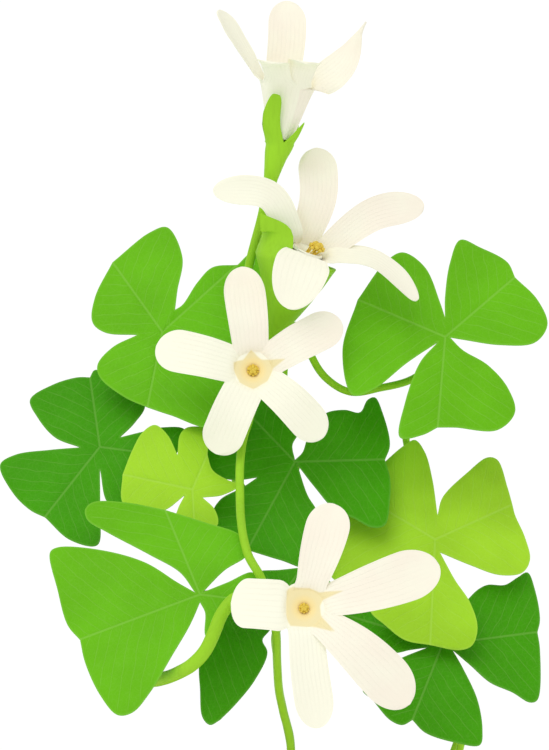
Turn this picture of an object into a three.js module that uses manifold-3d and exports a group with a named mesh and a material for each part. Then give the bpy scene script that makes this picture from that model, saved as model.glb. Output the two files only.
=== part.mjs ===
// A potted shamrock: three-part leaves on thin stalks and four pale blooms on one flower stem, in a clay pot.
// Millimetres, +Z up, the origin under the middle of the pot, the front towards -Y.
import * as THREE from 'three';
import { mergeVertices } from 'three/addons/utils/BufferGeometryUtils.js';
import Module from 'manifold-3d';

const wasm = await Module();
wasm.setup();

// Driving dimensions of the pot and its soil.
const POT_HEIGHT = 84;
const POT_RIM_RADIUS = 46;
const POT_RIM_HEIGHT = 18;
const POT_RIM_STEP = 3;
const POT_TAPER = 1;
const POT_BEVEL = 1.5;
const POT_FOOT_RADIUS = 31;
const POT_WALL = 4;
const POT_FLOOR = 5;
const POT_SIDES = 40;
const DRAIN_COUNT = 3;
const DRAIN_RADIUS = 3.5;
const DRAIN_REACH = 15;
const DRAIN_SIDES = 12;
const SOIL_EDGE = 75;
const SOIL_RISE = 2.5;
const SOIL_CLEARANCE = 0.5;
const SOIL_SIDES = 32;
const HOLE_DEPTH = 8;
const HOLE_SIDES = 8;
const FOOT_RISE = 5;
const FIT = 0.35;
const POT_BODY_RADIUS = POT_RIM_RADIUS - POT_RIM_STEP;
const POT_MOUTH_RADIUS = POT_RIM_RADIUS - POT_WALL;
const POT_SOIL_RADIUS = POT_MOUTH_RADIUS - (POT_TAPER * (POT_HEIGHT - SOIL_EDGE)) / POT_RIM_HEIGHT;
const SOIL_RADIUS = POT_SOIL_RADIUS - SOIL_CLEARANCE;

// Driving dimensions of the plant.
const STALK_RADIUS = 0.75;
const SCAPE_RADIUS = 0.85;
const ARCHED_STALK_RADIUS = 1.3;
const STALK_SIDES = 6;
const STALK_STEPS_PER_PLACE = 1.5;
const STALK_TILT = 0.6;
const SCAPE_SIDES = 8;
const LEAF_THICKNESS = 0.8;
const LEAF_FOLD = 2.2;
const LEAF_SAG = 1.8;
const LEAF_SPAN = 20;
const LEAF_SIDE_LIMIT = 1.2;
const MIDRIB_STEPS = 3;
const SAMPLES_PER_POINT = 2;
const PETAL_THICKNESS = 0.7;
const PETAL_ROWS = [0, 0.22, 0.45, 0.68, 0.86, 0.97];
const STRAP_COLUMNS = [-1, 0, 1];
const STRAP_NECK = 0.75;
const STRAP_BROADEST = 0.7;
const STRAP_TURN = 0.4;
const STRAP_CURLED = 0.33;
const THROAT_SIDES = 12;
const THROAT_WALL = 0.8;
const THROAT_ROWS = [0, 0.5, 1];
const THROAT_FLOOR = 0.12;
const HEART_NECK = 0.35;
const HEART_REACH = 0.85;
const HEART_SIDES = 8;
const SEPAL_THICKNESS = 0.7;
const SEPAL_ROWS = [0, 0.35, 0.7, 0.97];
const CUP_ROWS = [0, 0.5, 1];
const CALYX_FOOT = 2.5;
const CALYX_FOOT_RADIUS = 0.9;

// The plant is laid out as it is seen from the front: from 900 mm away and 15 degrees above. A place is
// given as millimetres across and up in that view, and millimetres nearer to the eye than the plant's middle.
const EYE_DISTANCE = 900;
const EYE_RISE = THREE.MathUtils.degToRad(15);
const VIEW_MIDDLE = new THREE.Vector3(-1.1, 0, 182);
const VIEW_MIDDLE_UP = 75;
const VIEW_UP = new THREE.Vector3(0, Math.sin(EYE_RISE), Math.cos(EYE_RISE));
const TO_EYE = new THREE.Vector3(0, -Math.cos(EYE_RISE), Math.sin(EYE_RISE));
const EYE = VIEW_MIDDLE.clone().addScaledVector(TO_EYE, EYE_DISTANCE);

const FINISHES = {
  clay: { color: 0xc4724a, roughness: 0.85 },
  soil: { color: 0x4a3524, roughness: 1 },
  stem: { color: 0x9dd62f, roughness: 0.5 },
  petal: { color: 0xfdf6e0, roughness: 0.7 },
  heart: { color: 0xe8ca4e, roughness: 0.7 },
  mid: { color: 0x6abc15, roughness: 0.6 },
  dark: { color: 0x43940b, roughness: 0.6 },
  light: { color: 0xa1d431, roughness: 0.6 },
};

// Leaves as seen from the front. hub: where the three leaflets meet, across and up. near: how far the hub
// stands towards the eye. lean: the way the blade faces, in degrees round from the front and up from level.
// Each leaflet runs clockwise from the gap before it, by its left side, its notch and its right side,
// in millimetres from the hub. foot: where the stalk stands in the soil, measured from the pot's axis.
// column: how near the stalk passes the lowest and the highest place of COLUMN. route: the stalk's places
// from there to the leaf, across, up and near.
const LEAVES = {
  1: {
    tint: 'mid', hub: [-23.5, 83.5], near: -5, lean: [-12, 48],
    foot: [3.5, 3], column: [-19.5, -4],
    route: [
      [2.5, 28, -5], [6.2, 37, -5], [4, 43, -6], [-4, 48, -7], [-9, 55, -8], [-11.6, 62, -10],
      [-13, 69, -12], [-18, 75, -13], [-22, 79.5, -11],
    ],
    leaflets: [
      {
        gap: [-5, -0.5], notch: [-10, 14],
        left: [[-11.5, 0], [-14, 2], [-13.5, 7]],
        right: [[-2.5, 20], [1, 21], [4, 15], [3, 8.5]],
      },
      {
        gap: [2.5, 4.5], notch: [15, 13.5],
        left: [[4, 5.5], [7, 10], [10, 13]],
        right: [[18, 16], [21, 15], [22, 9.5], [20, 3.5], [13.5, -2]],
      },
      {
        gap: [5.5, -2], notch: [-3, -15],
        left: [[10.5, -8], [12.5, -13.5], [10.5, -19], [1.5, -16.5]],
        right: [[-7.5, -13], [-12.5, -9], [-13, -6.5], [-10, -3]],
      },
    ],
  },
  2: {
    tint: 'mid', hub: [33, 82.5], near: 0, lean: [12, 48],
    foot: [-3, 7], column: [-23, -8],
    route: [
      [3, 28, -9], [6, 37, -9], [4, 47, -10], [1, 58, -12], [0.6, 68, -13], [1, 78, -10], [2, 84.5, -6],
      [4.8, 84.5, -4], [6, 79.5, -2], [9, 74.6, -1.5], [14, 71.6, -1.5], [20, 72.4, -2], [26.5, 74.2, -3.5],
      [31.5, 78.5, -6.5],
    ],
    leaflets: [
      {
        gap: [-1.5, -1], notch: [-17.5, 7.5],
        left: [[-7.5, -5], [-14.5, -10.5], [-18.5, -11.5], [-20.5, -2.5]],
        right: [[-12, 15], [-8.5, 17], [-4, 14], [-1, 7]],
      },
      {
        gap: [0, 4], notch: [14, 12],
        left: [[0, 8], [1, 15], [3, 19.5], [7, 18], [12.5, 15]],
        right: [[18.5, 7.5], [20.5, 2.5], [18, -1], [11, -1.5], [4, -0.5]],
      },
      {
        gap: [1, 0], notch: [-1.5, -18],
        left: [[3.5, -2.5], [8.5, -5.5], [12.5, -10], [14, -15], [10.5, -18.5], [2, -18]],
        right: [[-4.5, -19.5], [-9, -20], [-8, -13], [-5, -5]],
      },
    ],
  },
  3: {
    tint: 'dark', hub: [-36, 60.5], near: 0, lean: [-12, 48],
    foot: [-5, 0], column: [-16, 0],
    route: [
      [2, 28, -1], [5.8, 37, -1], [2, 43, -2], [-10, 42.5, -3], [-18, 43.5, -4], [-26, 45.5, -5],
      [-31, 49.5, -6], [-34, 53.5, -7], [-35.2, 56.5, -6.5],
    ],
    leaflets: [
      {
        gap: [-4, 0], notch: [-2, 14],
        left: [[-9, 2], [-12.5, 6], [-14, 9.5], [-9.5, 12.5], [-4.5, 14]],
        right: [[-1, 15.5], [5, 12.5], [9, 8.5], [7, 5]],
      },
      {
        gap: [4, 2], notch: [15, -2],
        left: [[8, 3], [12.5, 4], [17, 3.5]],
        right: [[11.5, -6.5], [9, -10.5], [5, -12.5], [1.5, -11]],
      },
      {
        gap: [0, -4.5], notch: [-11, -14],
        left: [[0, -12.5], [-0.5, -19.5], [-6, -18.5]],
        right: [[-14, -12.5], [-17.5, -9], [-20, -3.5], [-17, -1.5], [-10, -0.5]],
      },
    ],
  },
  4: {
    tint: 'light', hub: [-17.5, 52], near: 12, lean: [-6, 48],
    foot: [4, -3.5], column: [-12.5, 4],
    route: [
      [2, 28, 2.8], [5.2, 36.5, 2.2], [2, 41.5, 2], [-6, 42, 2], [-12.5, 43.3, 3], [-16.5, 46.5, 4.5],
      [-17.3, 48.2, 6],
    ],
    leaflets: [
      {
        gap: [-1.5, -1], notch: [-14, 3],
        left: [[-5.5, -4], [-10.5, -5], [-14, -2.5]],
        right: [[-12, 8], [-10, 11.5], [-7.5, 13], [-5, 11]],
      },
      {
        gap: [-3, 7], notch: [3, 7],
        left: [[-2.5, 11], [-1, 12.5], [3, 12]],
        right: [[4, 4], [7, 2], [9.5, 1], [6, -1]],
      },
      {
        gap: [2, -1.5], notch: [0.5, -9],
        left: [[4.5, -4], [5, -7]],
        right: [[-3.5, -7], [-3, -4]],
      },
    ],
  },
  5: {
    tint: 'mid', hub: [-16, 31], near: 33, lean: [-4, 48],
    foot: [-4, -14.5], column: [-2, 22],
    route: [[-3, 27.5, 26.8], [-7, 29.6, 28.4], [-10.5, 29.8, 28.2], [-13.6, 29.6, 28.5]],
    leaflets: [
      {
        gap: [-1, 0.5], notch: [-7, 17],
        left: [[-4, 4.5], [-10, 8], [-18.5, 12.5], [-22.5, 15], [-23, 17], [-21.5, 18.5], [-15, 18.5]],
        right: [[1, 14.5], [8, 12], [10, 9], [9, 7.5], [5, 5]],
      },
      {
        gap: [0.5, 0.5], notch: [8, -1],
        left: [[5.5, 2.5], [10.5, 4.5], [12, 2.5]],
        right: [[4.5, -5], [2, -9.5], [1, -8], [1, -3.5]],
      },
      {
        gap: [0, -1.5], notch: [-24, -9],
        left: [[-2, -6], [-5.5, -12], [-10, -19.5], [-13.5, -23.5], [-16.5, -24], [-20, -20], [-23, -13.5]],
        right: [[-26.5, -6], [-28.5, 1], [-30, 8.5], [-28.5, 9.5], [-20, 9], [-11, 6.5], [-4.5, 2.5]],
      },
    ],
  },
  6: {
    tint: 'dark', hub: [3, 57.5], near: 2, lean: [0, 48],
    foot: [-5, -7], column: [-9, 8],
    route: [[2, 28, 6.5], [5, 36, 5], [4.5, 45, 1], [3.2, 53, -4]],
    leaflets: [
      {
        gap: [-7.5, -3], notch: [-12, 12.5],
        left: [[-12, -3.5], [-16, -2.5], [-17.5, 0.5], [-17, 5]],
        right: [[-8, 16.5], [-4, 15.5], [0, 9.5], [1, 6.5], [-0.5, 3.5]],
      },
      {
        gap: [0, 0.5], notch: [18, 0.5],
        left: [[1.5, 2], [2.5, 5], [4.5, 8.5], [6.5, 10], [10, 10.5], [13, 10], [14.5, 12.5], [16, 13],
          [17.5, 10], [19, 3.5]],
        right: [[19, -3], [19, -7.5], [18, -12.5], [15.5, -13], [11.5, -11], [8, -9.5], [4, -5]],
      },
      {
        gap: [0.5, -0.5], notch: [-9.5, -17.5],
        left: [[2.5, -6.5], [4.5, -10], [5, -15.5], [3, -21], [-3, -19.5]],
        right: [[-14, -15.5], [-16.5, -10.5], [-15, -7.5], [-10.5, -5]],
      },
    ],
  },
  7: {
    tint: 'light', hub: [31, 42], near: 5, lean: [6, 48],
    foot: [23, -4],
    route: [[35.5, 2, -10], [35, 10, -8], [33.6, 21, -5], [31.4, 34, -3], [30.8, 38.5, -2]],
    leaflets: [
      {
        gap: [-4.5, -5.5], notch: [-15, 9],
        left: [[-11, -6.5], [-19, -8.5], [-21.5, -6], [-20, -1], [-18, 4]],
        right: [[-11.5, 14], [-8.5, 17], [-6, 19], [-4, 20], [-2, 17.5], [-0.5, 12]],
      },
      {
        gap: [0.5, 5], notch: [15.5, 7],
        left: [[1.5, 8.5], [6.5, 13.5], [10.5, 16.5], [12.5, 16], [14.5, 10.5]],
        right: [[16, 5], [18, 0.5], [19, -4], [17.5, -6.5], [13, -7], [7, -5]],
      },
      {
        gap: [1, -2.5], notch: [-1, -21],
        left: [[4, -8], [7, -12.5], [8.5, -17.5], [7.5, -21], [5, -22]],
        right: [[-6, -20], [-10, -17], [-13, -14], [-11.5, -10]],
      },
    ],
  },
  8: {
    tint: 'dark', hub: [32.5, 21], near: 12, lean: [6, 48],
    foot: [26, -11],
    route: [[36.5, 2.5, -2], [35.5, 9, 1], [33, 15.5, 4.5]],
    leaflets: [
      {
        gap: [-3, -0.5], notch: [-23, 7],
        left: [[-6.5, -1], [-10, -1.5], [-16.5, 2.5]],
        right: [[-21.5, 9], [-14.5, 9], [-7.5, 5], [-2.5, 2.5]],
      },
      {
        gap: [-0.5, 2.5], notch: [19, 2.5],
        left: [[2, 6], [4.5, 8.5], [7, 11], [9, 12], [12.5, 12], [15, 13.5], [17, 14.5], [18.5, 11],
          [19.5, 5]],
        right: [[19.5, -1], [19, -11], [17.5, -11.5], [14, -9.5], [9.5, -7.5], [5.5, -4]],
      },
      {
        gap: [2, -1], notch: [-6, -15],
        left: [[4, -4.5], [7, -11], [8, -17], [7.5, -20], [2.5, -19.5], [-3.5, -17.5]],
        right: [[-8, -16], [-10.5, -15], [-14, -11], [-16, -9], [-13.5, -6], [-9, -3]],
      },
    ],
  },
  9: {
    tint: 'dark', hub: [-0.5, 29.5], near: 18.6, lean: [0, 48],
    foot: [4, -11], column: [-5.5, 12],
    route: [[-0.4, 25.5, 11.5]],
    leaflets: [
      {
        gap: [-2.5, 1.5], notch: [5, 7],
        left: [[-4, 4.5], [-4, 6], [0.5, 6.5]],
        right: [[9, 5.4], [10.8, 3.6], [7.5, 1.5]],
      },
      {
        gap: [3.5, -0.5], notch: [10.5, -1.5],
        left: [[7.5, 0]],
        right: [[9.5, -5], [6, -5.5], [3, -4.5]],
      },
      {
        gap: [0.5, -2], notch: [-11.5, -23.5],
        left: [[-1.5, -5.5], [-3, -7.5], [-2, -10], [-4.5, -15.5], [-8.5, -20.5]],
        right: [[-13.5, -24.5], [-15, -23], [-15.5, -17.5], [-15.5, -11.5], [-12.5, -6.5], [-8.5, -0.5]],
      },
    ],
  },
};

// The places, across and up, that the stalks pass which rise together behind the flower stem.
const COLUMN = [[2.2, 0], [0.6, 8], [-0.2, 12], [-0.6, 18], [-0.8, 23.6]];

// A stalk that thickens, arches over to the left and goes down to a leaf behind leaf 5.
const ARCHED_LEAF = {
  tint: 'mid', hub: [-29.5, 27], near: 26, lean: [-20, 45], turn: 0, size: 9,
  foot: [-1, -23.5], column: [6, 32],
  route: [
    [-2, 27.6, 38.4], [-5, 30.2, 39.6], [-8.6, 30.4, 40], [-11.4, 27.6, 41.5], [-13.4, 23, 43],
    [-15, 19.8, 43], [-17.4, 17.2, 41.5], [-20, 15.6, 38.5], [-23, 14.4, 34.5], [-26, 14, 30],
    [-28.5, 15.8, 24.5], [-28.5, 19.5, 20],
  ],
};

// Small leaves at the back. Each is made of three like leaflets, `size` long and turned by `turn` degrees.
const REAR_LEAVES = {
  11: { tint: 'mid', hub: [-20, 86.4], near: -24, lean: [185, 65], turn: 180, size: 16 },
  12: { tint: 'mid', hub: [33.4, 86], near: -24, lean: [175, 65], turn: 180, size: 16 },
  13: { tint: 'dark', hub: [-22.4, 74.8], near: -27, lean: [180, 65], turn: 170, size: 12.5 },
  14: { tint: 'dark', hub: [-28, 57.3], near: -22, lean: [180, 65], turn: 180, size: 13 },
  15: { tint: 'light', hub: [31, 43.4], near: -18, lean: [175, 66], turn: 180, size: 13 },
  16: { tint: 'dark', hub: [32, 25.2], near: -26, lean: [178, 65], turn: 175, size: 15 },
  17: { tint: 'mid', hub: [-32, 28.5], near: -20, lean: [183, 65], turn: 180, size: 10.5 },
};

// One leaflet as a share of its length, from the gap before it. Three of them go round a hub.
const LEAFLET = {
  gap: [-0.087, 0.05], left: [[-0.3, 0.42], [-0.46, 0.78], [-0.36, 0.98]], notch: [0, 0.84],
  right: [[0.36, 0.98], [0.46, 0.78], [0.3, 0.42]],
};

// The two branching stems that carry the leaves at the back. `main` runs up from the soil to the leaf that it
// names, and each branch starts on it or on the column.
const REAR_STEMS = {
  left: {
    foot: [-1, 12], column: [-27, -13], leaf: 11,
    route: [
      [2.4, 28, -12], [6, 37, -13], [4, 43, -15], [-4, 48, -17], [-9, 54, -19], [-8.2, 58, -20],
      [-7.5, 62, -21], [-7.4, 69, -22.5], [-8, 75, -24], [-12, 79.5, -25], [-17, 79.5, -24],
    ],
    branches: [
      { leaf: 13, route: [[-7.5, 62, -21], [-10, 66.5, -22.5], [-14, 68.5, -24.5], [-19, 70.5, -26]] },
      {
        leaf: 14,
        route: [
          [4, 43, -15], [-2, 44, -16.5], [-9, 44.3, -18], [-15.5, 45.5, -19], [-17.2, 49.5, -19.5],
          [-20.5, 52.5, -20], [-25.5, 53.5, -21],
        ],
      },
      {
        leaf: 17,
        route: [
          [-0.8, 23.6, -13], [-3, 27.5, -15], [-8, 30.2, -17], [-13, 31.2, -18.5], [-16, 30.8, -19],
          [-18.5, 27, -18], [-21.5, 23.5, -17.5], [-28, 21.5, -18],
        ],
      },
    ],
  },
  right: {
    foot: [22, 4], leaf: 15,
    route: [
      [36.2, 2, -16], [35, 9, -17], [33.5, 14, -15], [31.5, 22, -12.5], [30.5, 30, -14], [30.8, 36, -17],
    ],
    branches: [
      { leaf: 16, route: [[35, 9, -17], [34, 13, -21], [33, 17, -24.5]] },
      {
        leaf: 12,
        route: [
          [30.5, 30, -14], [31, 37, -9.5], [31, 43, -8], [30, 50, -10], [27.5, 56, -14], [25.2, 62.4, -18],
          [27, 68, -20], [31, 74, -22], [32.8, 78, -22.5],
        ],
      },
    ],
  },
};

// The flower stem: where it stands, and the places that it passes up to the fork behind bloom 3.
const SCAPE_FOOT = [0.5, -19.5];
const SCAPE_ROUTE = [
  [2.2, 0, 1.5], [0.6, 8, 9], [-0.2, 12, 13.5], [-0.6, 18, 20], [-0.8, 23.6, 26], [-2, 29, 32.5],
  [-3.8, 34.4, 34.5], [-6.2, 38.6, 33], [-7.2, 42, 30.5], [-7.8, 46, 25], [-8, 50.5, 17.5], [-8, 57, 13],
  [-7.4, 62, 9.5], [-6.2, 66, 6.5], [-4.8, 71.6, 1.5], [-4.8, 74, -1],
];

// Blooms as seen from the front. base: the foot of the tube; face: the middle of its mouth; foot and mouth:
// its radius at either end. Each petal runs from the mouth by way of its middle to its tip, and `show` says
// how far it turns its face to the front there. Each sepal runs likewise from the rim of the green cup, whose
// radius gains `flare` over its height. stem: the stalk up to the cup, with a radius at each place.
const BLOOMS = {
  1: {
    base: [0.6, 120.8, 4], face: [1.6, 133.6, 4], foot: 2.2, mouth: 5.8, heart: 0.8,
    petals: [
      { middle: [-7.4, 139.6, 4], tip: [-12.2, 148, 2], width: 6.5, show: [0.35, 0.35] },
      { middle: [1.4, 142.8, -2.5], tip: [1.4, 149.8, -5], width: 7.8, show: [1, 1] },
      { middle: [11.6, 136, 4], tip: [16.8, 145.4, 2], width: 7.5, show: [0.85, 0.15] },
      { middle: [5.6, 136.5, 11], tip: [6.5, 137.5, 18], width: 6.5, show: [0, 0] },
      { middle: [-2.2, 136.5, 12], tip: [-3, 137.5, 19], width: 6.5, show: [0, 0] },
    ],
    cup: 1.6, flare: 0.1,
    sepals: [
      { middle: [-1.9, 126, 8.6], tip: [-0.2, 131.6, 11.2], width: 4.4, show: [0.5, 0.7] },
      { middle: [3.6, 122.8, 7.4], tip: [5, 125.4, 7.6], width: 2.2, show: [0, 0] },
      { middle: [1, 126, -0.6], tip: [1.4, 130, -2.2], width: 3.4, show: [0, 0] },
      { middle: [-2.4, 125, 0.8], tip: [-2.4, 128.4, -0.4], width: 3, show: [0, 0] },
      { middle: [3.2, 124.4, 0.6], tip: [3.8, 127, -0.6], width: 3, show: [0, 0] },
    ],
    stem: [
      [-4.8, 74, -1, 0.8], [-5.4, 78, 0.5, 0.8], [-6, 83, 0.8, 0.8], [-6.6, 92, 0, 0.8], [-6.2, 96.6, 0, 0.9],
      [-5, 101.2, 1, 1], [-3.6, 106, 2, 1.1], [-2.4, 111, 3, 1.25], [-1.6, 114, 4, 1.4],
      [-0.6, 117.2, 4, 1.9], [0, 119.3, 4, 2.2],
    ],
  },
  2: {
    base: [-1.2, 84, 1.5], face: [5.8, 100.6, 6], foot: 1.3, mouth: 4, heart: 1.7,
    petals: [
      { middle: [7.6, 110.6, 3], tip: [7.2, 120.4, -1], width: 7.6, show: [0.9, 0.9] },
      { middle: [19, 107.2, 2], tip: [28.8, 109, -1], width: 6.8, show: [0.9, 0.9] },
      { middle: [19, 98.4, 5], tip: [27.6, 90, 5], width: 6.4, show: [0.35, 0.35] },
      { middle: [5.4, 96, 13], tip: [2, 88, 14.5], width: 11, show: [0.9, 0.9] },
      { middle: [-2.8, 111, 9], tip: [-13.4, 112, 10], width: 6, show: [0.9, 0.9] },
    ],
    cup: 15, flare: 2.65,
    sepals: [
      { middle: [-1.8, 103, 6], tip: [-2.4, 106, 6.5], width: 5.4, show: [0.8, 0.8] },
      { middle: [6.5, 102.5, -1], tip: [7, 105.5, -3], width: 5, show: [0, 0] },
      { middle: [11.6, 97.6, 1], tip: [13.2, 99, 0], width: 4, show: [0, 0] },
    ],
    stem: [[-4.8, 74, -1, 0.8], [-3.4, 77.6, -0.4, 1], [-2.2, 81, 0.6, 1.5], [-1.6, 83.2, 1.2, 1.8]],
  },
  3: {
    base: [-5.4, 74.3, 4.2], face: [-5.4, 76.2, 13], foot: 1.3, mouth: 4.2, heart: 1.2,
    petals: [
      { middle: [-6.4, 86.2, 12.5], tip: [-7.8, 96.6, 9], width: 8, show: [0, 0] },
      { middle: [3.4, 81.2, 13], tip: [12.2, 85.8, 10], width: 7.8, show: [0, 0] },
      { middle: [2, 69.6, 15], tip: [8.6, 62.4, 14], width: 7.8, show: [0, 0] },
      { middle: [-9.4, 67.6, 15], tip: [-12.8, 59.2, 14], width: 8.4, show: [0, 0] },
      { middle: [-15.2, 78.6, 13.5], tip: [-24.8, 80.6, 11], width: 8.6, show: [0, 0] },
    ],
    cup: 2.5, flare: 0.4,
    sepals: sepalRing(-5.4, 75.4, 9, 4.4),
    stem: [[-4.8, 74, -1.5, 0.8], [-5.1, 73.8, 0.5, 1], [-5.4, 73.7, 2.5, 1.6]],
  },
  4: {
    base: [4.8, 26.7, 38.2], face: [4.8, 28.6, 47], foot: 1.3, mouth: 4.2, heart: 1,
    petals: [
      { middle: [-2.6, 29, 47], tip: [-9.8, 29.4, 46], width: 9.6, show: [0, 0] },
      { middle: [8.2, 39.8, 46.5], tip: [10.8, 49.2, 43], width: 8.4, show: [0, 0] },
      { middle: [18, 32.2, 47], tip: [31.8, 37, 43], width: 9.8, show: [0, 0] },
      { middle: [15.2, 20.2, 49], tip: [26, 9.2, 46], width: 9.8, show: [0, 0] },
      { middle: [5.8, 17, 48], tip: [7.6, 4.4, 46], width: 7.6, show: [0, 0] },
    ],
    cup: 2.5, flare: 0.4,
    sepals: sepalRing(4.8, 27.8, 43, 4.4),
    stem: [[-1.6, 27.5, 31.5, 0.8], [1, 25.6, 32.5, 0.9], [3.6, 25.6, 34.6, 1.2], [4.8, 26.1, 36.8, 1.7]],
  },
};

// Five like sepals round a bloom that faces the front.
function sepalRing(across, up, near, reach) {
  return [0, 1, 2, 3, 4].map((turn) => {
    const angle = (turn / 5) * 2 * Math.PI;
    const [right, top] = [Math.sin(angle), Math.cos(angle)];
    const at = (radius, rise) => [across + right * radius, up + top * radius, near + rise];
    return { middle: at(reach, 0), tip: at(reach * 1.25, 1.2), width: 3.2, show: [0, 0] };
  });
}

const part = new THREE.Group();

function addNode(name, geometry, finish) {
  const material = new THREE.MeshStandardMaterial({ ...FINISHES[finish], metalness: 0 });
  const mesh = new THREE.Mesh(geometry, material);
  mesh.name = name;
  part.add(mesh);
}

// The picture plane's point and the sight line through it.
function sight(across, up, near) {
  const spot = VIEW_MIDDLE.clone().addScaledVector(VIEW_UP, up - VIEW_MIDDLE_UP);
  spot.x = across;
  return EYE.clone().lerp(spot, 1 - near / EYE_DISTANCE);
}

// A unit vector that looks `round` degrees to the right of the front and `rise` degrees up.
function facing(round, rise) {
  const turn = THREE.MathUtils.degToRad(round);
  const lift = THREE.MathUtils.degToRad(rise);
  return new THREE.Vector3(Math.sin(turn) * Math.cos(lift), -Math.cos(turn) * Math.cos(lift), Math.sin(lift));
}

function geometryFrom(points, triangles) {
  const geometry = new THREE.BufferGeometry();
  const positions = points.flatMap((point) => point.toArray());
  geometry.setAttribute('position', new THREE.Float32BufferAttribute(positions, 3));
  geometry.setIndex(triangles.flat());
  return geometry;
}

// A closed blade from an open sheet: each point is moved both ways by its offset, and the edge is closed.
function blade(points, triangles, offsets) {
  const count = points.length;
  const upper = points.map((point, i) => point.clone().add(offsets[i]));
  const lower = points.map((point, i) => point.clone().sub(offsets[i]));
  const edges = new Set(triangles.flatMap(([a, b, c]) => [`${a} ${b}`, `${b} ${c}`, `${c} ${a}`]));
  const faces = triangles.flatMap(([a, b, c]) => [[a, b, c], [c + count, b + count, a + count]]);
  for (const edge of edges) {
    const [a, b] = edge.split(' ').map(Number);
    if (!edges.has(`${b} ${a}`)) {
      faces.push([b, a, a + count], [b, a + count, b + count]);
    }
  }
  return geometryFrom([...upper, ...lower], faces);
}

// A closed body through rings of points, with both end rings filled.
function loft(rings) {
  const sides = rings[0].length;
  const points = rings.flat();
  const faces = [];
  for (let row = 0; row + 1 < rings.length; row += 1) {
    for (let side = 0; side < sides; side += 1) {
      const next = (side + 1) % sides;
      const [a, b] = [row * sides + side, row * sides + next];
      faces.push([a, b, b + sides], [a, b + sides, a + sides]);
    }
  }
  for (const [row, flipped] of [[0, true], [rings.length - 1, false]]) {
    const middle = new THREE.Vector3();
    rings[row].forEach((point) => middle.addScaledVector(point, 1 / sides));
    points.push(middle);
    for (let side = 0; side < sides; side += 1) {
      const [a, b] = [row * sides + side, row * sides + ((side + 1) % sides)];
      faces.push(flipped ? [b, a, points.length - 1] : [a, b, points.length - 1]);
    }
  }
  return geometryFrom(points, faces);
}

// A round ring about an axis. Its first point lies on the side that `start` looks to.
function ring(middle, axis, start, radius, sides) {
  const along = new THREE.Vector3().crossVectors(axis, start).normalize();
  const across = new THREE.Vector3().crossVectors(along, axis).normalize();
  return Array.from({ length: sides }, (_, side) => {
    const angle = (side / sides) * 2 * Math.PI;
    return middle.clone()
      .addScaledVector(across, Math.cos(angle) * radius)
      .addScaledVector(along, Math.sin(angle) * radius);
  });
}

// Of the two directions of the view, the one that lies furthest from an axis.
const sideways = (axis) => (Math.abs(axis.dot(TO_EYE)) > Math.SQRT1_2 ? VIEW_UP : TO_EYE);

function solid(geometry) {
  const plain = geometry.clone();
  plain.deleteAttribute('normal');
  plain.deleteAttribute('uv');
  const merged = mergeVertices(plain, 1e-5);
  const mesh = new wasm.Mesh({
    numProp: 3,
    vertProperties: new Float32Array(merged.attributes.position.array),
    triVerts: new Uint32Array(merged.index.array),
  });
  return new wasm.Manifold(mesh);
}

function geometryOf(body) {
  const mesh = body.getMesh();
  const geometry = new THREE.BufferGeometry();
  geometry.setAttribute('position', new THREE.BufferAttribute(new Float32Array(mesh.vertProperties), 3));
  geometry.setIndex(Array.from(mesh.triVerts));
  return geometry;
}

const fuse = (geometries) => geometryOf(geometries.map(solid).reduce((whole, piece) => whole.add(piece)));

function smooth(points, samplesPerPoint) {
  const curve = new THREE.CatmullRomCurve3(points, false, 'centripetal');
  return curve.getPoints((points.length - 1) * samplesPerPoint);
}

// A round stalk through the given places, closed at both ends.
function stalk(places, radius) {
  const path = new THREE.CatmullRomCurve3(places, false, 'centripetal');
  const section = new THREE.Shape();
  for (let side = 0; side < STALK_SIDES; side += 1) {
    const angle = (side / STALK_SIDES) * 2 * Math.PI;
    const [x, y] = [Math.cos(angle) * radius, Math.sin(angle) * radius];
    if (side === 0) section.moveTo(x, y);
    else section.lineTo(x, y);
  }
  section.closePath();
  const steps = Math.round(STALK_STEPS_PER_PLACE * (places.length - 1));
  return new THREE.ExtrudeGeometry(section, { steps, extrudePath: path });
}

// How far a point of a leaf stands above the plane of its blade: each leaflet folds up from its midrib
// and sags towards its tip.
function leafRelief(x, y, leaflet, previousGap, nextGap) {
  const angle = Math.atan2(y, x);
  const middle = Math.atan2(leaflet.notch[1], leaflet.notch[0]);
  const turn = (a, b) => Math.atan2(Math.sin(a - b), Math.cos(a - b));
  const offset = turn(angle, middle);
  const gap = offset > 0 ? previousGap : nextGap;
  const half = Math.abs(turn(Math.atan2(gap[1], gap[0]), middle));
  const reach = Math.hypot(x, y) / LEAF_SPAN;
  const side = Math.min(Math.abs(offset) / half, LEAF_SIDE_LIMIT);
  return reach * LEAF_FOLD * side ** 2 - LEAF_SAG * reach ** 2;
}

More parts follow.
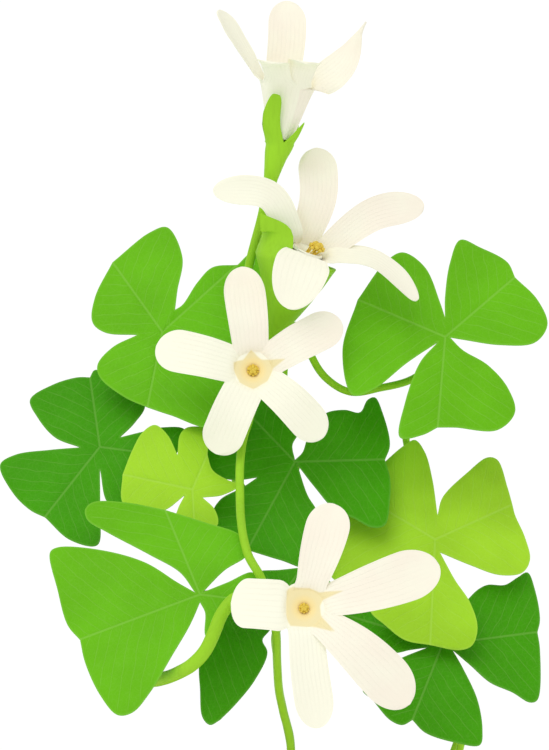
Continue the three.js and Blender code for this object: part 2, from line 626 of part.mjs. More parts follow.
// One blade of three leaflets. `place` turns millimetres from the hub and a rise into a point in space.
function leafBlade(leaflets, normal, place) {
  const points = [];
  const triangles = [];
  const index = new Map();
  const pointAt = (x, y, rise) => {
    const key = `${x.toFixed(4)} ${y.toFixed(4)}`;
    if (!index.has(key)) {
      index.set(key, points.length);
      points.push(place(x, y, rise));
    }
    return index.get(key);
  };
  leaflets.forEach((leaflet, i) => {
    const nextGap = leaflets[(i + 1) % leaflets.length].gap;
    const side = (places) => smooth(places.map(([x, y]) => new THREE.Vector3(x, y, 0)), SAMPLES_PER_POINT);
    const midrib = Array.from({ length: MIDRIB_STEPS + 1 }, (_, k) => {
      const share = k / MIDRIB_STEPS;
      return new THREE.Vector3(leaflet.notch[0] * share, leaflet.notch[1] * share, 0);
    });
    const left = [...side([leaflet.gap, ...leaflet.left, leaflet.notch])].slice(0, -1);
    const right = [...side([leaflet.notch, ...leaflet.right, nextGap])].slice(1);
    const halves = [[...left, ...[...midrib].reverse()], [...midrib, ...right]];
    for (const half of halves) {
      const contour = half.map((point) => new THREE.Vector2(point.x, point.y));
      const numbers = contour.map(({ x, y }) => (
        pointAt(x, y, leafRelief(x, y, leaflet, leaflet.gap, nextGap))));
      for (const [a, b, c] of THREE.ShapeUtils.triangulateShape(contour, [])) {
        triangles.push([numbers[c], numbers[b], numbers[a]]);
      }
    }
  });
  const area = triangles.reduce((sum, [a, b, c]) => {
    const cross = points[b].clone().sub(points[a]).cross(points[c].clone().sub(points[a]));
    return sum + cross.dot(normal);
  }, 0);
  const facesOut = area > 0 ? triangles : triangles.map(([a, b, c]) => [c, b, a]);
  const offset = normal.clone().multiplyScalar(LEAF_THICKNESS / 2);
  return blade(points, facesOut, points.map(() => offset));
}

function frontLeaf(number, leaf) {
  const hub = sight(leaf.hub[0], leaf.hub[1], leaf.near);
  const normal = facing(leaf.lean[0], leaf.lean[1]);
  const place = (x, y, rise) => {
    const aim = sight(leaf.hub[0] + x, leaf.hub[1] + y, 0).sub(EYE).normalize();
    const reach = hub.clone().sub(EYE).dot(normal) / aim.dot(normal);
    return EYE.clone().addScaledVector(aim, reach - rise);
  };
  addNode(`leaf_${number}_blade`, leafBlade(leaf.leaflets, normal, place), leaf.tint);
}

const soilTop = (x, y) => SOIL_EDGE + SOIL_RISE * (1 - Math.hypot(x, y) / SOIL_RADIUS);

// The way up out of the soil: the foot stands upright in its hole.
function footPlaces([x, y]) {
  const top = soilTop(x, y);
  const rises = [FIT - HOLE_DEPTH, -HOLE_DEPTH / 2, 1, FOOT_RISE];
  return rises.map((rise) => new THREE.Vector3(x, y, top + rise));
}

const holes = [];

// The places of a stalk on its way up to a leaf.
function stalkPlaces(leaf, { foot, column, route }, radius) {
  const start = foot ? footPlaces(foot) : [];
  const rise = column ? COLUMN.map(([across, up], i) => (
    sight(across, up, THREE.MathUtils.lerp(column[0], column[1], i / (COLUMN.length - 1))))) : [];
  const below = LEAF_THICKNESS / 2 + FIT + radius * STALK_TILT;
  const end = sight(leaf.hub[0], leaf.hub[1], leaf.near).addScaledVector(facing(...leaf.lean), -below);
  return [...start, ...rise, ...route.map((place) => sight(...place)), end];
}

function leafStalk(number, leaf) {
  holes.push({ foot: leaf.foot, radius: STALK_RADIUS });
  const geometry = stalk(stalkPlaces(leaf, leaf, STALK_RADIUS), STALK_RADIUS);
  addNode(`leaf_${number}_stalk`, geometry, 'stem');
}

function rearLeaf(number, leaf) {
  const normal = facing(...leaf.lean);
  const level = new THREE.Vector3(0, 0, 1).cross(normal).normalize();
  const slope = normal.clone().cross(level);
  const hub = sight(leaf.hub[0], leaf.hub[1], leaf.near);
  const leaflets = [0, 120, 240].map((angle) => {
    const turn = THREE.MathUtils.degToRad(leaf.turn - angle);
    const [right, top] = [Math.sin(turn) * leaf.size, Math.cos(turn) * leaf.size];
    const spin = ([x, y]) => [x * top - y * right, x * right + y * top];
    return {
      gap: spin(LEAFLET.gap), left: LEAFLET.left.map(spin), notch: spin(LEAFLET.notch),
      right: LEAFLET.right.map(spin),
    };
  });
  const place = (x, y, rise) => hub.clone()
    .addScaledVector(level, x).addScaledVector(slope, y).addScaledVector(normal, rise);
  addNode(`leaf_${number}_blade`, leafBlade(leaflets, normal, place), leaf.tint);
}

function rearStem(side, stem) {
  holes.push({ foot: stem.foot, radius: STALK_RADIUS });
  const stalks = [stem, ...stem.branches].map((branch) => (
    stalk(stalkPlaces(REAR_LEAVES[branch.leaf], branch, STALK_RADIUS), STALK_RADIUS)));
  addNode(`rear_stem_${side}`, fuse(stalks), 'stem');
}

// The outer radius of a bloom's tube at a share of its length.
const tubeRadius = (share, bloom) => THREE.MathUtils.lerp(bloom.foot, bloom.mouth, share);

// A petal or sepal as a thin strap, broadest past its middle and round at its tip. It starts `reach` away
// from a point on the bloom's axis, on the side of its own middle.
function strap({ middle, tip, width, show }, centre, axis, reach, thickness, rows) {
  const way = sight(...middle);
  const outward = way.clone().sub(centre);
  outward.addScaledVector(axis, -outward.dot(axis)).normalize();
  const root = centre.clone().addScaledVector(outward, reach);
  const path = new THREE.CatmullRomCurve3([root, way, sight(...tip)], false, 'centripetal');
  const level = new THREE.Vector3().crossVectors(outward, axis).normalize();
  const points = [];
  const offsets = [];
  for (const share of rows) {
    const along = path.getTangentAt(share);
    const shown = new THREE.Vector3().crossVectors(along, TO_EYE).normalize();
    if (shown.dot(level) < 0) shown.negate();
    const turned = share < STRAP_TURN ? (show[0] * share) / STRAP_TURN
      : THREE.MathUtils.mapLinear(share, STRAP_TURN, 1, show[0], show[1]);
    const across = level.clone().lerp(shown, turned);
    across.addScaledVector(along, -across.dot(along)).normalize();
    const outer = new THREE.Vector3().crossVectors(across, along).normalize();
    const grown = Math.sin((Math.min(share / STRAP_BROADEST, 1) * Math.PI) / 2);
    const swell = THREE.MathUtils.lerp(STRAP_NECK, 1, grown);
    const past = Math.max(0, (share - STRAP_BROADEST) / (1 - STRAP_BROADEST));
    const half = (width / 2) * swell * Math.sqrt(1 - past ** 2);
    for (const side of STRAP_COLUMNS) {
      const cup = thickness * side ** 2 * Math.min(share / STRAP_CURLED, 1);
      points.push(path.getPointAt(share).addScaledVector(across, half * side).addScaledVector(outer, cup));
      offsets.push(outer.clone().multiplyScalar(thickness / 2));
    }
  }
  return blade(points, gridTriangles(rows.length, STRAP_COLUMNS.length), offsets);
}

function gridTriangles(rows, columns) {
  const triangles = [];
  for (let row = 0; row + 1 < rows; row += 1) {
    for (let column = 0; column + 1 < columns; column += 1) {
      const a = row * columns + column;
      triangles.push([a, a + 1, a + columns + 1], [a, a + columns + 1, a + columns]);
    }
  }
  return triangles;
}

// The rings of a bloom: `at` gives one that stands `rise` along the bloom's axis.
function bloomFrame(bloom) {
  const base = sight(...bloom.base);
  const face = sight(...bloom.face);
  const axis = face.clone().sub(base).normalize();
  const length = face.distanceTo(base);
  const on = (rise) => base.clone().addScaledVector(axis, rise);
  const at = (rise, radius, sides) => ring(on(rise), axis, sideways(axis), radius, sides);
  return { axis, length, on, at };
}

// The tube of a bloom: a cone that is open at its mouth.
function throat(bloom, { length, at }) {
  const outer = THROAT_ROWS.map((share) => at(share * length, tubeRadius(share, bloom), THROAT_SIDES));
  const inner = THROAT_ROWS.slice(1).reverse()
    .map((share) => at(share * length, tubeRadius(share, bloom) - THROAT_WALL, THROAT_SIDES));
  const floor = at(THROAT_FLOOR * length, bloom.foot - THROAT_WALL, THROAT_SIDES);
  return loft([...outer, ...inner, floor]);
}

// The golden style and its head, which stand on the floor of the tube.
function bloomHeart(bloom, { length, at }) {
  const top = length * HEART_REACH;
  const head = bloom.heart;
  const profile = [
    [THROAT_FLOOR * length + FIT, HEART_NECK], [top - 2 * head, HEART_NECK], [top - head, head],
    [top - head / 3, head], [top, head / 2],
  ];
  return loft(profile.map(([rise, radius]) => at(rise, radius, HEART_SIDES)));
}

// The green cup under a bloom: a shell round the foot of the tube.
const cupInside = (bloom, frame, rise) => (
  tubeRadius(rise / frame.length, bloom) + FIT + (bloom.flare * rise) / bloom.cup);

function calyxCup(bloom, frame) {
  const rises = CUP_ROWS.map((share) => share * bloom.cup);
  const inner = rises.map((rise) => frame.at(rise, cupInside(bloom, frame, rise), THROAT_SIDES)).reverse();
  const outer = rises.map((rise) => (
    frame.at(rise, cupInside(bloom, frame, rise) + SEPAL_THICKNESS, THROAT_SIDES)));
  const foot = frame.at(-CALYX_FOOT, CALYX_FOOT_RADIUS, THROAT_SIDES);
  return loft([foot, ...outer, ...inner, frame.at(-FIT, bloom.foot, THROAT_SIDES)]);
}

// A stem whose radius changes on its way.
function taperedStem(points, radii) {
  const path = new THREE.CatmullRomCurve3(points, false, 'centripetal');
  const start = sideways(points[points.length - 1].clone().sub(points[0]).normalize());
  const steps = Math.round((points.length - 1) * STALK_STEPS_PER_PLACE);
  return loft(Array.from({ length: steps + 1 }, (_, step) => {
    const place = (step / steps) * (points.length - 1);
    const before = Math.min(Math.floor(place), points.length - 2);
    const radius = THREE.MathUtils.lerp(radii[before], radii[before + 1], place - before);
    return ring(path.getPoint(step / steps), path.getTangent(step / steps), start, radius, SCAPE_SIDES);
  }));
}

// The stalk of leaf 10 is as thin as the others down to the top of the column, and thick beyond it.
function archedStalk(leaf) {
  const places = stalkPlaces(leaf, leaf, ARCHED_STALK_RADIUS);
  const thin = places.length - 1 - leaf.route.length;
  const radii = places.map((_, i) => (i < thin ? STALK_RADIUS : ARCHED_STALK_RADIUS));
  holes.push({ foot: leaf.foot, radius: STALK_RADIUS });
  addNode('leaf_10_stalk', taperedStem(places, radii), 'stem');
}

function addBlooms() {
  const scapePlaces = [...footPlaces(SCAPE_FOOT), ...SCAPE_ROUTE.map((place) => sight(...place))];
  const stems = [stalk(scapePlaces, SCAPE_RADIUS)];
  holes.push({ foot: SCAPE_FOOT, radius: SCAPE_RADIUS });
  for (const [number, bloom] of Object.entries(BLOOMS)) {
    const frame = bloomFrame(bloom);
    const rim = bloom.mouth - THROAT_WALL / 2;
    const petals = bloom.petals.map((petal) => (
      strap(petal, frame.on(frame.length), frame.axis, rim, PETAL_THICKNESS, PETAL_ROWS)));
    addNode(`bloom_${number}_petals`, fuse([throat(bloom, frame), ...petals]), 'petal');
    addNode(`bloom_${number}_heart`, bloomHeart(bloom, frame), 'heart');
    const cupRim = cupInside(bloom, frame, bloom.cup) + SEPAL_THICKNESS;
    const sepals = bloom.sepals.map((sepal) => (
      strap(sepal, frame.on(bloom.cup - SEPAL_THICKNESS), frame.axis, cupRim, SEPAL_THICKNESS, SEPAL_ROWS)));
    const stem = taperedStem(bloom.stem.map((place) => sight(...place)), bloom.stem.map((place) => place[3]));
    stems.push(stem, calyxCup(bloom, frame), ...sepals);
  }
  addNode('flower_stem', fuse(stems), 'stem');
}

// A solid of revolution about the pot's axis, from a closed outline of radius and height.
function turned(outline, sides) {
  const geometry = new THREE.LatheGeometry(outline.map(([x, y]) => new THREE.Vector2(x, y)), sides);
  return geometry.rotateX(Math.PI / 2);
}

function post([x, y], radius, bottom, top, sides) {
  const geometry = new THREE.CylinderGeometry(radius, radius, top - bottom, sides);
  return geometry.rotateX(Math.PI / 2).translate(x, y, (top + bottom) / 2);
}

const POT_RIM_FOOT = POT_HEIGHT - POT_RIM_HEIGHT;

function addPot() {
  const outline = [
    [0, 0], [POT_FOOT_RADIUS, 0], [POT_BODY_RADIUS, POT_RIM_FOOT - POT_TAPER],
    [POT_RIM_RADIUS - POT_TAPER, POT_RIM_FOOT], [POT_RIM_RADIUS, POT_HEIGHT - POT_BEVEL],
    [POT_RIM_RADIUS - POT_BEVEL, POT_HEIGHT], [POT_MOUTH_RADIUS, POT_HEIGHT],
    [POT_MOUTH_RADIUS - POT_TAPER, POT_RIM_FOOT], [POT_FOOT_RADIUS - POT_WALL, POT_FLOOR], [0, POT_FLOOR],
  ];
  const drains = Array.from({ length: DRAIN_COUNT }, (_, k) => {
    const angle = (k / DRAIN_COUNT) * 2 * Math.PI + Math.PI / 2;
    const middle = [Math.cos(angle) * DRAIN_REACH, Math.sin(angle) * DRAIN_REACH];
    return post(middle, DRAIN_RADIUS, -FIT, POT_FLOOR + FIT, DRAIN_SIDES);
  });
  const whole = solid(turned(outline, POT_SIDES));
  const body = drains.map(solid).reduce((pot, drain) => pot.subtract(drain), whole);
  addNode('pot', geometryOf(body), 'clay');
}

// The soil fills the pot, and each stalk stands in a hole in it.
function addSoil() {
  const halfway = SOIL_RADIUS / 2;
  const outline = [
    [0, POT_FLOOR + FIT], [POT_FOOT_RADIUS - POT_WALL - SOIL_CLEARANCE, POT_FLOOR + FIT],
    [POT_MOUTH_RADIUS - POT_TAPER - SOIL_CLEARANCE, POT_RIM_FOOT],
    [SOIL_RADIUS, SOIL_EDGE], [halfway, soilTop(halfway, 0)], [0, soilTop(0, 0)],
  ];
  const body = holes.reduce((soil, { foot, radius }) => {
    const round = (radius + FIT) / Math.cos(Math.PI / HOLE_SIDES);
    const floor = soilTop(...foot) - HOLE_DEPTH;
    return soil.subtract(solid(post(foot, round, floor, SOIL_EDGE + SOIL_RISE + FIT, HOLE_SIDES)));
  }, solid(turned(outline, SOIL_SIDES)));
  addNode('soil', geometryOf(body), 'soil');
}

for (const [number, leaf] of Object.entries(LEAVES)) {
  frontLeaf(number, leaf);
  leafStalk(number, leaf);
}
rearLeaf(10, ARCHED_LEAF);
archedStalk(ARCHED_LEAF);
for (const [number, leaf] of Object.entries(REAR_LEAVES)) {
  rearLeaf(number, leaf);
}
for (const [side, stem] of Object.entries(REAR_STEMS)) {
  rearStem(side, stem);
}
addBlooms();
addPot();
addSoil();

export default part;
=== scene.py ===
"""Potted shamrock: three-part leaves on thin stalks and four pale blooms on one stem, in a clay pot."""

import bisect
import math
import random

import bpy
from bpy.props import FloatProperty, FloatVectorProperty, IntProperty, PointerProperty
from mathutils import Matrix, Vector, kdtree, noise
from mathutils.geometry import delaunay_2d_cdt


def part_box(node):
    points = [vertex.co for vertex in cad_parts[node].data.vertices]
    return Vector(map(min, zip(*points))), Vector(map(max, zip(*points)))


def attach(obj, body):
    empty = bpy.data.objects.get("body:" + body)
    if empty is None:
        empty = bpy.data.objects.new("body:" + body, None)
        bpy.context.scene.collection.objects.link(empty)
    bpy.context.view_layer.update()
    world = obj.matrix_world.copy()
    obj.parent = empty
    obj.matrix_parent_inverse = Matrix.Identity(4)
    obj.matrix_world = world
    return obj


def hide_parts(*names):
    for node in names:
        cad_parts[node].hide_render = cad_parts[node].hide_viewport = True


bl_info = {
    "name": "Potted Shamrock",
    "version": (1, 0, 0),
    "blender": (4, 5, 0),
    "location": "View3D > Sidebar > Shamrock",
    "description": "Builds the leaves, stems, blooms, pot and soil of a potted shamrock",
    "category": "Add Mesh",
}

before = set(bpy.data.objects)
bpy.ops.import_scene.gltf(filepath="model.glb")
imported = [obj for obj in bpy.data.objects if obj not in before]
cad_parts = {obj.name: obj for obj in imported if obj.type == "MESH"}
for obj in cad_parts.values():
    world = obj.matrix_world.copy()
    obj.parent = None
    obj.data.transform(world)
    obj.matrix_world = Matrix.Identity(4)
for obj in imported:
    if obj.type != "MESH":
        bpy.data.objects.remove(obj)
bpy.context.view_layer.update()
POT_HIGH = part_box("pot")[1]

# Shapes are laid out in millimetres and turned into metres where a piece is made.
MM = 0.001
TINY = 1e-6
WHITE = (1, 1, 1, 1)

# The pot. Its wall wanders a little all round, and by a share of that from one turning line to the next.
POT_HEIGHT = POT_HIGH.z / MM
POT_RIM_RADIUS = POT_HIGH.x / MM
POT_RIM_HEIGHT = 18
POT_RIM_FOOT = POT_HEIGHT - POT_RIM_HEIGHT
POT_RIM_STEP = 3
POT_TAPER = 1
POT_FOOT_RADIUS = 31
POT_WALL = 4
POT_FLOOR = 5
POT_AXIS_RADIUS = 0.4
POT_BODY_RADIUS = POT_RIM_RADIUS - POT_RIM_STEP
POT_MOUTH_RADIUS = POT_RIM_RADIUS - POT_WALL
POT_SIDES = 160
POT_ROW_STEP = 2.2
POT_WANDER = 0.22
POT_WANDER_SCALE = 0.045
POT_LINE_SHARE = 0.4
POT_LINE_SCALE = 0.9
DRAIN_COUNT = 3
DRAIN_RADIUS = 3.5
DRAIN_REACH = 15
DRAIN_SIDES = 32
DRAIN_OVERSHOOT = 1

# The soil. Each row of SOIL_LUMPS is the scale, the layer and the height of one kind of lump. The bed is
# level at its edge.
SOIL_EDGE = 75
SOIL_RISE = 2.5
SOIL_RADIUS = POT_MOUTH_RADIUS - POT_TAPER
SOIL_GAP = 0.5
SOIL_FOOT = POT_FLOOR + 0.4
SOIL_SKIRT = 1
SOIL_SIDES = 200
SOIL_ROWS = 70
SOIL_LUMPS = ((0.9, 3, 0.35), (0.22, 9, 0.8))
SOIL_CELL_SCALE = 0.5
SOIL_CELL_MIDDLE = 0.5
SOIL_LEVEL_EDGE = 3
SOIL_SINK = 0.3

# Crumbs of soil. Their size runs from the least up to the least and the range, mostly near the least.
CRUMB_SEED = 11
CRUMB_LEAST = 0.35
CRUMB_RANGE = 1.1
CRUMB_FROM_WALL = 1.5
CRUMB_FROM_STALK = 1.1
CRUMB_RISE = 0.25
CRUMB_TURNS = (0.35, 1.0, 1.6, 2.2, 2.8)
CRUMB_FLATNESS = 0.8
CRUMB_SIDES = 7
CRUMB_NOISE_SCALE = 1.3
CRUMB_NOISE = 0.5
CRUMB_TONES = (-0.4, 0.6)

# Curves and round stems. A path has so many points from place to place, or few where its places are dense.
PATH_POINTS = 24
DENSE_PATH_POINTS = 2
PATH_TANGENT = 0.004
PATH_LAST = 1.001
STEM_STEP = 0.8
STEM_LEAST_ROWS = 4
STEM_END_TURNS = (0.05, 0.25, 0.5, 0.8, 1.15, 1.5)
SMOOTH_ANGLE = math.radians(60)
POT_SMOOTH_ANGLE = math.radians(40)
BEND_SHARES = (0, 0.25, 0.5, 0.75, 1)

# Stalks. A stalk swells at its foot in the soil and just below its leaf, where its very tip narrows again.
# The tip lies a quarter of the blade's thickness below the middle of the blade.
FOOT_RISES = (-3, 1, 5)
FOOT_SWELL = 0.35
FOOT_SWELL_SPAN = 4
JOINT_SWELL = 0.28
JOINT_DROP = 1.6
JOINT_SPAN = 1.1
TIP_NARROWING = 0.25
TIP_SPAN = 1.2
TIP_ROUNDING = 0.5
TIP_UNDER_BLADE = 0.25
STALK_RIPPLE = 0.05
STALK_RIPPLE_SCALE = 0.25
SCAPE_RADIUS = 0.85
SCAPE_SWELL = 0.3
ARCHED_STALK_RADIUS = 1.3

# Blades. The fold and the sag are those of a leaf 20 mm long. Steps, rows and clearances of the points of a
# blade are shares of their spacing, apart from MIDRIB_ROWS, which is in millimetres.
LEAF_SPAN = 20
LEAF_SIDE_LIMIT = 1.2
LEAF_LEAST_HALF = math.radians(20)
OUTLINE_STEP = 0.6
MIDRIB_ROWS = (0.3, 0.62, 1.05)
MIDRIB_CLEAR = 0.42
FIELD_ROW = 0.87
FIELD_CLEAR = 0.62
SAME_DECIMALS = 3
SAME_POINT = 1e-4
BLADE_EDGE_WIDTH = 1.1
GROOVE_WIDTH = 0.42
WAVE_HEIGHT = 0.35
WAVE_SCALE = 0.16
WAVE_START = 4
WAVE_AT_RIM = 1.6
WAVE_LOSS = 0.6

# Petals and sepals. Each is a claw in the wall of the tube or cup and a strap that turns outward from it.
PETAL_AWAY = -0.3
PETAL_WRAP = 0.97
PETAL_LAP = 0.14
PETAL_INSET = 0.4
PETAL_START = 0.1
PETAL_CURL = 1.6
PETAL_CURL_RISE = 3
PETAL_RIPPLE = 0.35
PETAL_RIPPLE_SCALE = (4, 2, 7)
PETAL_EDGE_THINNING = 0.75
CLAW_POINTS = 12
STRAP_POINTS = 16
STRAP_CLAW = 1
STRAP_FLAT = 1.4
STRAP_FRONT = 0.6
STRAP_END = 0.9995
STRAP_END_ROUNDING = 0.8
CORNER_ROUNDS = 10
CORNER_REACH = 4
CALYX_GAP = 0.12
CALYX_WALL = 0.45
CALYX_COLUMNS = 84
CALYX_STEP = 0.6
CUP_STEPS = 5
CUP_LINING_STEPS = 10
CUP_BELOW_RIM = 0.9
SEPAL_POINTS = 12
SEPAL_ROWS = 16
SEPAL_FLAT = 0.6
SEPAL_WRAP = 1.25
SEPAL_THINNING = 0.6
RIM_ROUND = 0.25

# The lining of a tube: from its foot to the wall of the mouth, over the dish and down its neck to the style.
# THROAT_DROPS says how far below the mouth its places are, from the second to the one before the last.
# THROAT_SIDE is where its whole surface lies across the veins of a petal.
THROAT_DROPS = (2.6, 1.25, 0.76, 0.64, 0.9, 1.25, 1.55, 2.1)
THROAT_WALL = 0.3
THROAT_INSET = 0.7
THROAT_TAPER = 0.9
THROAT_ROWS = 48
THROAT_COLUMNS = 40
THROAT_SIDE = 0.1
DISH_LIP = 0.15
NECK_SHARE = 0.8
NECK_FLARE = 0.4
NECK_TAPER = 0.1
NECK_FOOT = 0.62

# The golden heart of a bloom. Its style starts at a share of the tube's length and a few tenths above it.
# The drops, reaches, radii and lengths of its head, lobes and anthers, and the drop of its style, are shares
# of the bloom's `heart`. The radii of its style, and all of FILAMENT but the bend and the sides, are
# millimetres.
HEART_DEPTH = 0.4
GRAIN_TURNS = (0.12, 0.5, 0.95, 1.4, 1.85, 2.3, 2.75, 3.02)
GRAIN_WAIST = 0.12
GRAIN_SIDES = 10
STYLE_FOOT_SHARE = 0.12
STYLE_FOOT_RISE = 0.35
STYLE_RADII = (0.42, 0.3)
STYLE_DROP = 0.7
HEAD = {"drop": 0.55, "radius": 0.72, "length": 0.9}
LOBE = {"count": 5, "drop": 0.35, "reach": 0.4, "aim": 1.5, "radius": 0.34, "length": 0.7}
ANTHER = {"count": 10, "drop": 0.5, "reach": 0.78, "stagger": 0.25, "radius": 0.24, "length": 0.5}
FILAMENT = {"rise": 0.4, "reach": 0.42, "bend": 0.75, "radius": 0.13, "sides": 6, "rounding": 0.1}

# How strongly the finer parts of a noise show in every material.
NOISE_ROUGHNESS = 0.55

# The plant is laid out as it is seen from the front: from 900 mm away and 15 degrees above. A place is
# given as millimetres across and up in that view, and millimetres nearer to the eye than the plant's middle.
EYE_DISTANCE = 900
EYE_RISE = math.radians(15)
VIEW_MIDDLE = Vector((-1.1, 0, 182))
VIEW_MIDDLE_UP = 75
VIEW_UP = Vector((0, math.sin(EYE_RISE), math.cos(EYE_RISE)))
TO_EYE = Vector((0, -math.cos(EYE_RISE), math.sin(EYE_RISE)))
EYE = VIEW_MIDDLE + TO_EYE * EYE_DISTANCE
PICTURE_HEIGHT = 150
KEY_AIM = Vector((0.5, 0.75, -1.7))
CLIP_NEAR = 0.05
CLIP_FAR = 50

